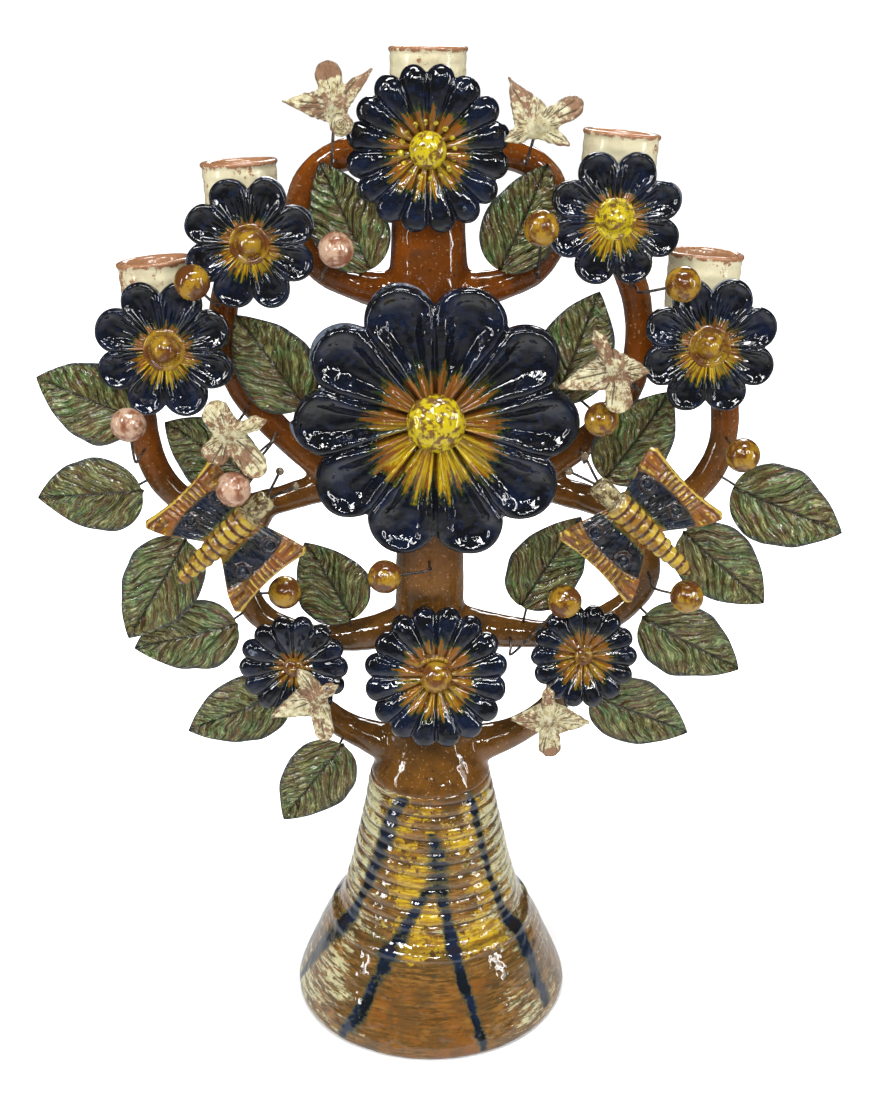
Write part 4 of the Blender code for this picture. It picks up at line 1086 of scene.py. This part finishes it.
def heart_of(name, radius):
    """The ball in the middle of a flower, standing on the disc, with the rings or dots round it."""
    if name == "flower_centre":
        bm = ball((0, 0, 0), radius, 64, 40, (1, 1, 0.82))
        everything = bm.verts[:] + bm.edges[:] + bm.faces[:]
        low = (0, 0, -radius * 0.35)
        bmesh.ops.bisect_plane(bm, geom=everything, plane_co=low, plane_no=(0, 0, -1), clear_outer=True)
        bmesh.ops.contextual_create(bm, geom=[e for e in bm.edges if e.is_boundary])
        for v in bm.verts:
            if v.co.z > 0:
                cell = noise.cell_vector(v.co * 330)
                lump = noise.voronoi(v.co * 300)[0][0]
                v.co += v.co.normalized() * (0.0011 * (0.55 - lump) + 0.0002 * cell.x)
        return bm
    if name in ("flower_top", "flower_bottom"):
        on_top = name == "flower_top"
        parts = [ball((0, 0, radius * 0.15), radius, 40, 26, (1, 1, 0.80))]
        for i in range(16 if on_top else 7):
            turn = math.tau * i / 16 + 0.1 if on_top else math.radians(60 + 14 * i)
            spot = Vector((math.cos(turn), math.sin(turn), 0)) * radius * (1.42 if on_top else 1.18)
            parts.append(ball(spot + Vector((0, 0, 0.0006)), 0.0016 + 0.0002 * (i % 3), 12, 8))
        return gather(*parts)
    if name in ("flower_lower_left", "flower_lower_right"):
        saucer = ball((0, 0, 0), radius * 1.25, 32, 20, (1, 1, 0.62))
        return gather(saucer, ball((0, 0, radius * 0.7), radius * 0.62, 28, 18))
    outline = [
        (0.0, 0.86), (0.22, 0.83), (0.42, 0.75), (0.60, 0.60), (0.73, 0.40), (0.80, 0.22), (0.86, 0.12),
        (0.93, 0.12), (1.02, 0.20), (1.12, 0.25), (1.23, 0.22), (1.32, 0.10), (1.38, -0.10), (1.38, -0.45),
        (0.0, -0.45),
    ]
    bm = thrown([(r * radius, h * radius) for r, h in outline], 48)
    long_edges = [e for e in bm.edges if e.calc_length() > radius * 0.3]
    bmesh.ops.subdivide_edges(bm, edges=long_edges, cuts=1, use_grid_fill=True)
    return bm


def face_front(bm, centre, nod):
    """Turns a shape that faces +Z to face the front, nods it upwards, and moves it to its place."""
    stand = Matrix.Rotation(math.radians(90 - nod), 3, "X")
    bmesh.ops.rotate(bm, matrix=stand, cent=(0, 0, 0), verts=bm.verts)
    bmesh.ops.translate(bm, vec=centre, verts=bm.verts)


def make_flowers():
    """Nine flowers, each a disc of petals with its heart, luted to the clay body behind it."""
    for index, (name, facts) in enumerate(FLOWERS.items()):
        x, z, size, thick, heart, petals, kind, boss_x, boss_z, boss_r, nod, fore, gold_reach = facts
        centre = at(x, z, FLOWER_Y - fore / 1000)
        per = 30 if petals == 10 else (28 if petals == 8 else 16)
        disc = pressed_flower(size / 1000, thick / 1000, petals, kind, gold_reach, index * 7.3 + 1.0, per)
        face_front(disc, centre, nod)
        fire(name + "_petals", disc, COBALT, "tree", "cobalt_glaze", name)
        ball_finish = YELLOW if name in ("flower_centre", "flower_top", "flower_upper_right") else AMBER_HEART
        middle = heart_of(name, heart / 1000)
        bmesh.ops.translate(middle, vec=(0, 0, thick / 1000 * 0.50), verts=middle.verts)
        for v in middle.verts:
            v.co += v.co.normalized() * 0.0002 * grain(v.co, 150.0, index)
        face_front(middle, centre, nod)
        fire(name + "_heart", middle, ball_finish, "tree", "cobalt_glaze")
        depths = (-ARM_R * 0.4, -ARM_R - 0.004, centre.y + 0.001, centre.y - 0.004)
        back = smooth_path([at(boss_x, boss_z, depth) for depth in depths], 4)
        boss = rod(back, [boss_r / 1000 * share for share in LUTING_WAIST], 5)
        fire(name + "_luting", boss, BROWN, "tree", "brown_glaze")


# ---------------------------------------------------------------- wires and what they carry


def wire_to(name, goal):
    """The iron wire from its root in the clay to a point inside the piece that it carries."""
    root = WIRE_ROOTS[name]
    far = root.y - goal.y > 0.020
    first = Vector((root.x, WIRE_TURN_Y, root.z)) if far else root.lerp(goal, 0.3)
    bend = first.lerp(goal, 0.5) + Vector((0, 0.10 * (goal.y - first.y), 0))
    sink = root + (root - first).normalized() * 0.0025
    path = smooth_path([sink, root.lerp(first, 0.5), first, bend, goal], 5)
    fire(name + "_wire", rod(path, [WIRE_R] * len(path), 2), IRON, name, "brown_glaze")


def carved_leaf(base, tip, width, seed):
    """A pointed heart-shaped blade with its midrib and slanting veins carved in."""
    along = tip - base
    ahead = (FRONT - along * (FRONT.dot(along) / along.length_squared)).normalized()
    beside = along.normalized().cross(ahead)
    bm, back = plate(100, 64)
    hollow, edge = new_marks(bm, "hollow", "edge").values()
    fan = bm.verts.layers.float_vector.new("fan")
    twist = 0.6 * noise.noise(Vector((seed, 0.3, 0.7)))
    for v in bm.verts:
        dial = math.pi * 0.5 * (1 + v.co.x)
        across = v.co.y
        share = 0.5 * (1 - math.cos(dial))
        oval = max(0.0, math.sin(dial)) ** (0.62 + 1.25 * share) * (1.10 - 0.06 * share)
        heart = max(0.0, math.sin(math.pi * min(1.0, share**0.66))) ** 0.86
        spread = 0.30 * oval + 0.72 * heart
        spread *= 1 + 0.07 * noise.noise(Vector((share * 5, math.copysign(2.0, across), seed)))
        bow = 0.035 * width * math.sin(math.pi * share) * twist
        slant = abs(across) * spread
        drift = 0.75 * noise.noise(Vector((share * 4, across * 2, seed)))
        phase = 8.0 * (share - 0.42 * slant) + drift + (0.35 if across > 0 else 0)
        depth = 0.8 + 0.8 * noise.noise(Vector((math.floor(phase) * 1.3, math.copysign(1.0, across), seed)))
        wave = abs(math.sin(math.pi * phase))
        cut = ease(0.85, 0.0, wave) * depth
        rib = math.exp(-((slant / 0.050) ** 2)) * ease(1.0, 0.85, share)
        fade = ease(1.0, 0.93, abs(across)) * ease(0.0, 0.05, share) * ease(0.02, 0.10, slant)
        body = max(0.0, math.sin(dial)) ** 0.7 * (1 - abs(across) ** 3.0)
        fine = noise.noise(Vector((phase * 3.5, across * 1.2, seed))) * fade
        fold = 0.0024 * abs(across) * (1 + twist) - 0.0034 * share * share * (1 + twist)
        if v in back:
            height = -0.0010 - 0.0014 * body - 0.0004 * cut * fade + fold
        else:
            carving = 0.0026 * cut * fade * (0.3 + 0.7 * body)
            height = 0.0007 + 0.0026 * body - carving - 0.0016 * rib + 0.0005 * fine + fold
            v[hollow] = rib
        v[edge] = ease(0.78, 1.0, abs(across)) + 0.7 * ease(0.86, 1.0, share)
        v[fan] = (phase, across * 3 + (7 if across > 0 else 0), share)
        v.co = base + along * share + beside * (width / 2 * spread * across + bow) + ahead * height
    bmesh.ops.remove_doubles(bm, verts=bm.verts, dist=1e-5)
    return bm


def make_leaves():
    """Eighteen carved leaves, each on its wire."""
    for index, (name, (bx, bz, tx, tz, width, fore, aft)) in enumerate(LEAVES.items()):
        base = at(bx, bz, LEAF_Y - fore / 1000)
        tip = at(tx, tz, LEAF_Y - aft / 1000)
        blade = carved_leaf(base, tip, width / 1000, index * 3.1 + 0.7)
        fire(name + "_blade", blade, LEAF, name, "green_glaze", name)
        wire_to(name, base + (tip - base) * 0.16)


def make_berries():
    """Twelve glazed beads, each on its wire."""
    for index, (name, (x, z, fore, worn)) in enumerate(BERRIES.items()):
        centre = at(x, z, BERRY_Y - fore / 1000)
        bm = ball((0, 0, 0), BERRY_R, 40, 28)
        for v in bm.verts:
            lump = 0.00035 * grain(v.co, 70.0, index * 2.3) + 0.0002 * grain(v.co, 190.0, index)
            v.co += v.co.normalized() * lump
        bmesh.ops.translate(bm, vec=centre, verts=bm.verts)
        fire(name + "_bead", bm, PALE if worn else AMBER, name, "amber_glaze", name)
        wire_to(name, centre)


def slab(root, tip, root_wide, tip_wide, thick, sag=0.0):
    """A flat clay slab from root to tip, of its own half width at each end. sag tips the far end forward."""
    along = tip - root
    beside = along.normalized().cross(FRONT)
    bm = bmesh.new()
    bmesh.ops.create_cube(bm, size=2.0)
    bmesh.ops.subdivide_edges(bm, edges=bm.edges[:], cuts=7, use_grid_fill=True)
    for v in bm.verts:
        share = 0.5 * (1 + v.co.x)
        wide = root_wide + (tip_wide - root_wide) * (share**1.5 if tip_wide < root_wide else share)
        wide *= 1 - 0.28 * max(0.0, v.co.x) ** 6
        round_end = 0.10 * (1 - v.co.y**2) * share**4
        slim = 1 - 0.30 * share
        rise = thick * slim * v.co.z + sag * share**2
        v.co = root + along * (share + round_end) + beside * (wide * v.co.y) + FRONT * rise
    return bm


def make_birds():
    """Six birds, each a body, a head, a beak and three slabs kneaded into one."""
    size = BIRD_R
    for index, (name, (x, z, head, wing_a, wing_b, tail, fore, widths)) in enumerate(BIRDS.items()):
        body = at(x, z, BIRD_Y - fore / 1000)
        to_head, to_a, to_b, to_tail = [at(*reach) for reach in (head, wing_a, wing_b, tail)]
        root_a, tip_a, root_b, tip_b, fan_out = [mm / 1000 for mm in widths]
        axis = (to_head - to_tail).normalized()
        front_on = name == "bird_01"
        face = body + to_head.normalized() * max(to_head.length * 0.84, size * 1.35) + Vector((0, -0.0026, 0))
        pointing = (face - body).normalized() + Vector((0, -1.2 if front_on else -0.2, 0))
        beak = face + pointing.normalized() * size * (0.55 if front_on else 1.15)
        parts = [lean_to(ball((0, 0, 0), size * 0.92, 28, 20, (1.0, 0.84, 1.25)), axis, body)]
        parts.append(ball(face, size * (0.90 if front_on else 0.62), 24, 16, (1, 0.85, 1)))
        parts.append(rod([body, body.lerp(face, 0.5), face], [size * 0.9, size * 0.62, size * 0.5], 4))
        parts.append(rod([face, face.lerp(beak, 0.5), beak], [size * 0.5, size * 0.34, size * 0.10], 4))
        wings = ((to_a, root_a, tip_a, -0.0015), (to_b, root_b, tip_b, 0.0010))
        for reach, root_wide, tip_wide, lift in wings:
            root = body - reach.normalized() * size * 0.45
            parts.append(slab(root, body + reach * 1.02, root_wide * 1.15, tip_wide, 0.0033, lift))
        parts.append(slab(body, body + to_tail * 1.02, size * 0.74, fan_out, 0.0032, 0.0008))
        bird = knead(gather(*parts), BIRD_PITCH, 3)
        bird.normal_update()
        fan = bird.verts.layers.float_vector.new("fan")
        eye, bare = new_marks(bird, "eye", "bare").values()
        beside = (face - body).normalized().cross(FRONT)
        eyes = [face + beside * (side * size * 0.36) + Vector((0, -size * 0.46, 0)) for side in (1, -1)]
        tail_bare = 0.95 if front_on else 0.30
        for v in bird.verts:
            offset = v.co - body
            reach = math.hypot(offset.x, offset.z)
            turn = math.atan2(offset.z, offset.x)
            dial = Vector((math.cos(turn), math.sin(turn), reach * 60))
            v[fan] = dial
            barb = noise.noise(Vector((dial.x * 10, dial.y * 10, dial.z * 0.8 + index)))
            lump = 0.0006 * barb * ease(0.004, 0.009, reach) + 0.0004 * grain(v.co, 130.0, index)
            v.co += v.normal * lump
            along_tail = offset.dot(to_tail.normalized()) / to_tail.length
            v[bare] = ease(0.62, 0.8, along_tail) * tail_bare + 0.45 * grain(v.co, 70.0, index * 4.4)
            if front_on:
                gap = math.hypot(v.co.x - face.x, v.co.z - face.z)
                cut = ease(0.0062, 0.0050, gap) * ease(0, -0.002, v.co.y - face.y)
                v.co -= v.normal * 0.0007 * abs(math.sin(gap * 1300)) * cut
                continue
            near = min((v.co - spot).length for spot in eyes)
            v[eye] = ease(0.0013, 0.0008, near) if name == "bird_05" else 0.0
            v.co -= v.normal * 0.0006 * ease(0.0019, 0.0006, near)
        crests(bird, 9000.0)
        fire(name + "_modelled", bird, BIRD, name, "bird_slip", name)
        wire_to(name, body)


def make_wing(head, along, side, upper):
    """One butterfly wing: a pressed plate with a raised ribbed band along its outer edge and round eyes."""
    bm, back = plate(64, 88)
    layers = new_marks(bm, "gold", "crest", "hollow")
    length = along.length
    flat = along.normalized()
    eyes = [(0.56, -0.52), (0.58, 0.36)]
    spots = [flat * ((0.44 + 0.34 * q) * length) + side * (0.003 + 0.030 * out) for out, q in eyes]
    for v in bm.verts:
        out = 0.5 * (1 + v.co.x)
        q = v.co.y
        near_root = 0.40 + 0.19 * q
        far_edge = 0.47 + 0.385 * q
        spread = ease(0.0, 0.98, out) ** 0.80
        s = near_root + (far_edge - near_root) * spread
        corner = 0.0030 * ease(0.84, 1.0, abs(q)) ** 2 * ease(0.8, 1.0, out)
        reach = 0.001 + (0.0335 + 0.0035 * q * q) * out - corner
        spot = flat * (s * length) + side * reach
        band_from = 0.72 - 0.19 * q * q
        band = ease(band_from - 0.02, band_from + 0.05, out)
        outer = (out - band_from) / (1 - band_from)
        tip = ease(0.46, 0.62, abs(q))
        rib = abs(math.sin(math.pi * q * 8.5))
        line = abs(math.sin(math.pi * 2.5 * outer))
        lip = ease(0.82, 0.90, outer) * ease(1.0, 0.96, outer)
        height = 0.0014 + 0.0014 * band
        ribbed = (1 - tip) * 0.0013 * (rib - 0.6) * ease(0.88, 0.80, outer) + tip * 0.0009 * (line - 0.6)
        height += band * (ribbed + 0.0009 * lip)
        by_root = ease(0.34, 0.12, out) * (0.6 if upper else 1.0)
        hem = 0.9 * ease(0.92, 0.99, abs(q)) * ease(0.3, 0.5, out)
        gold = max(band, by_root, hem)
        hollow = 0.9 * ease(0.030, 0.0, abs(out - band_from))
        hollow = max(hollow, band * (1 - tip) * ease(0.60, 0.05, rib) * ease(0.88, 0.80, outer) * 0.9)
        hollow = max(hollow, band * tip * ease(0.50, 0.05, line) * 0.8)
        on_ribs = (1 - tip) * ease(0.6, 1.0, rib) * 0.75
        crest = band * max(0.85 * lip, on_ribs, 0.6 * tip * ease(0.6, 1.0, line))
        for centre in spots:
            gap = (spot - centre).length
            ring = math.exp(-(((gap - 0.0038) / 0.0009) ** 2))
            boss = ease(0.0028, 0.0014, gap)
            height += (0.0021 * ring + 0.0016 * boss) * (1 - band)
            crest = max(crest, 0.7 * ring * (1 - band))
            hollow = max(hollow, 0.9 * math.exp(-(((gap - 0.0048) / 0.0007) ** 2)) * (1 - band))
        stroke = noise.noise(Vector((q * 14, out * 2.5, 0.3 if upper else 5.1)))
        height += 0.0008 * stroke * (1 - band) * ease(0.0, 0.2, out)
        rim = min(ease(0.0, 0.05, out), ease(1.0, 0.965, out), ease(1.0, 0.95, abs(q)))
        height *= 0.35 + 0.65 * rim
        arch = 0.0016 * math.sin(math.pi * out)
        if v in back:
            v.co = head + spot + FRONT * (arch - 0.0014 * (0.4 + 0.6 * rim))
        else:
            v.co = head + spot + FRONT * (arch + height)
            v[layers["hollow"]] = hollow
            v[layers["crest"]] = crest
        v[layers["gold"]] = gold
    return bm


def make_butterflies():
    """Two butterflies, each a ringed body with two wings and two beaded feelers."""
    for name, (hx, hz, tx, tz) in BUTTERFLIES.items():
        head = at(hx, hz, WING_Y)
        along = at(tx, tz, WING_Y) - head
        side = along.cross(FRONT).normalized()
        if side.z < 0:
            side = -side
        length = along.length
        outline = [
            (0.0, 0.0), (0.0042, 0.004), (0.0056, 0.018), (0.0062, 0.050), (0.0064, 0.100), (0.0060, 0.155),
            (0.0056, 0.195),
        ]
        step = RINGS_FROM
        while step < 0.955:
            girth = 0.0080 - 0.0042 * ease(0.30, 1.05, step)
            ring = ((0.93, -0.036), (0.96, -0.024), (1.02, 0.0), (1.01, 0.016), (0.96, 0.028))
            outline += [(girth * out, step + along_body) for out, along_body in ring]
            step += RING_STEP
        outline += [(0.0026, 0.975), (0.0016, 0.995), (0.0, 1.0)]
        body = thrown([(r, h * length) for r, h in outline], 48)
        long_edges = [e for e in body.edges if e.calc_length() > 0.0018]
        bmesh.ops.subdivide_edges(body, edges=long_edges, cuts=1)
        on_head, hollow = new_marks(body, "head", "hollow").values()
        for v in body.verts:
            share = v.co.z / length
            v[on_head] = ease(0.235, 0.20, share)
            wave = (share - RINGS_FROM) / RING_STEP
            v[hollow] = ease(0.80, 0.15, abs(math.sin(math.pi * (wave + 0.5)))) * ease(0.2, 0.22, share) * 0.9
            radius = math.hypot(v.co.x, v.co.y)
            if radius > TOUCHING:
                turn = math.atan2(v.co.y, v.co.x)
                knurl = 0.0004 * math.cos(5 * turn) + 0.0003 * grain(v.co, 400.0)
                swell(v.co, radius, 0.0005 * grain(v.co, 120.0, tx) + v[on_head] * knurl)
        lean_to(body, along, head + Vector((0, -0.0016, 0)))
        fire(name + "_body", body, RINGED, name, "butterfly_glaze", name)
        for way in (1, -1):
            which = "upper" if way > 0 else "lower"
            wing = make_wing(head, along, side * way, way > 0)
            fire(f"{name}_wing_{which}", wing, WING, name, "butterfly_glaze")
            brow = head - along * 0.04 + side * (way * 0.002)
            end = head - along * 0.20 + side * (way * 0.006)
            feeler = rod(smooth_path([head + along * 0.06, brow, end], 4), [WIRE_R] * 9, 2)
            feeler_bead = ball(end, FEELER_BEAD_R, 20, 14)
            fire(f"{name}_feeler_{which}", feeler, IRON, name, "butterfly_glaze")
            fire(f"{name}_bead_{which}", feeler_bead, BEAD, name, "butterfly_glaze")
        wire_to(name, head + along * 0.36)


# ---------------------------------------------------------------- studio


def make_floor():
    """White paper. It glows away from the tree, and is dark where a glaze mirrors it."""
    bm = bmesh.new()
    bmesh.ops.create_grid(bm, x_segments=1, y_segments=1, size=6.0)
    mesh = bpy.data.meshes.new("floor")
    bm.to_mesh(mesh)
    bm.free()
    paper, tree, place = new_glaze("white paper floor")
    shade = tint(tree, speckle(tree, place, 3.0), (0.90, 0.90, 0.90), (0.88, 0.88, 0.88))
    shader = tree.nodes["Principled BSDF"]
    shader.inputs["Roughness"].default_value = 0.8
    shader.inputs["Specular IOR Level"].default_value = 0.1
    away = put(tree, "ShaderNodeVectorMath", {0: place}, operation="LENGTH").outputs["Value"]
    path = put(tree, "ShaderNodeLightPath").outputs
    glow = maths(tree, "MULTIPLY", mask(tree, away, 0.10, 0.45), path["Is Camera Ray"])
    shader.inputs["Emission Color"].default_value = (1, 1, 1, 1)
    tree.links.new(glow, shader.inputs["Emission Strength"])
    far_off = maths(tree, "ADD", maths(tree, "MULTIPLY", mask(tree, away, 0.15, 0.75), 0.42), 0.40)
    shade = wash(tree, shade, path["Is Glossy Ray"], far_off, (0.0, 0.0, 0.0))
    tree.links.new(shade, shader.inputs["Base Color"])
    mesh.materials.append(paper)
    floor = bpy.data.objects.new("floor", mesh)
    bpy.context.scene.collection.objects.link(floor)


def make_surround():
    """White to the camera, dimmer on the clay, and nearly black where a glaze mirrors it."""
    world = bpy.data.worlds.new("studio")
    bpy.context.scene.world = world
    world.use_nodes = True
    tree = world.node_tree
    path = put(tree, "ShaderNodeLightPath").outputs
    backdrop = tree.nodes["Background"]
    backdrop.inputs["Color"].default_value = (1, 1, 1, 1)
    diffuse = maths(tree, "MULTIPLY", path["Is Diffuse Ray"], 0.44)
    strength = maths(tree, "ADD", maths(tree, "ADD", path["Is Camera Ray"], diffuse), 0.03)
    tree.links.new(strength, backdrop.inputs["Strength"])


def make_lights():
    for name, (place, aim_height, width, height, watts) in SOFT_BOXES.items():
        light = bpy.data.lights.new(name, "AREA")
        light.shape = "RECTANGLE"
        light.size = width
        light.size_y = height
        light.energy = watts
        lamp = bpy.data.objects.new(name, light)
        lamp.location = place
        gaze = Vector((0, 0, aim_height)) - Vector(place)
        lamp.rotation_euler = gaze.to_track_quat("-Z", "Y").to_euler()
        bpy.context.scene.collection.objects.link(lamp)


def make_camera():
    """In front of the tree and above it, looking down a little."""
    camera = bpy.data.cameras.new("camera")
    camera.sensor_fit = "VERTICAL"
    camera.sensor_height = 36
    camera.lens = 46.8
    eye = bpy.data.objects.new("camera", camera)
    eye.location = (0.0076, -0.80, 0.58)
    eye.rotation_euler = (math.radians(90 - 19.4), 0, 0)
    bpy.context.scene.collection.objects.link(eye)
    bpy.context.scene.camera = eye
    bpy.context.scene.view_settings.view_transform = "Standard"


make_camera()
make_floor()
make_surround()
make_lights()
make_clay_body()
make_foot()
make_cups()
make_flowers()
make_leaves()
make_berries()
make_birds()
make_butterflies()
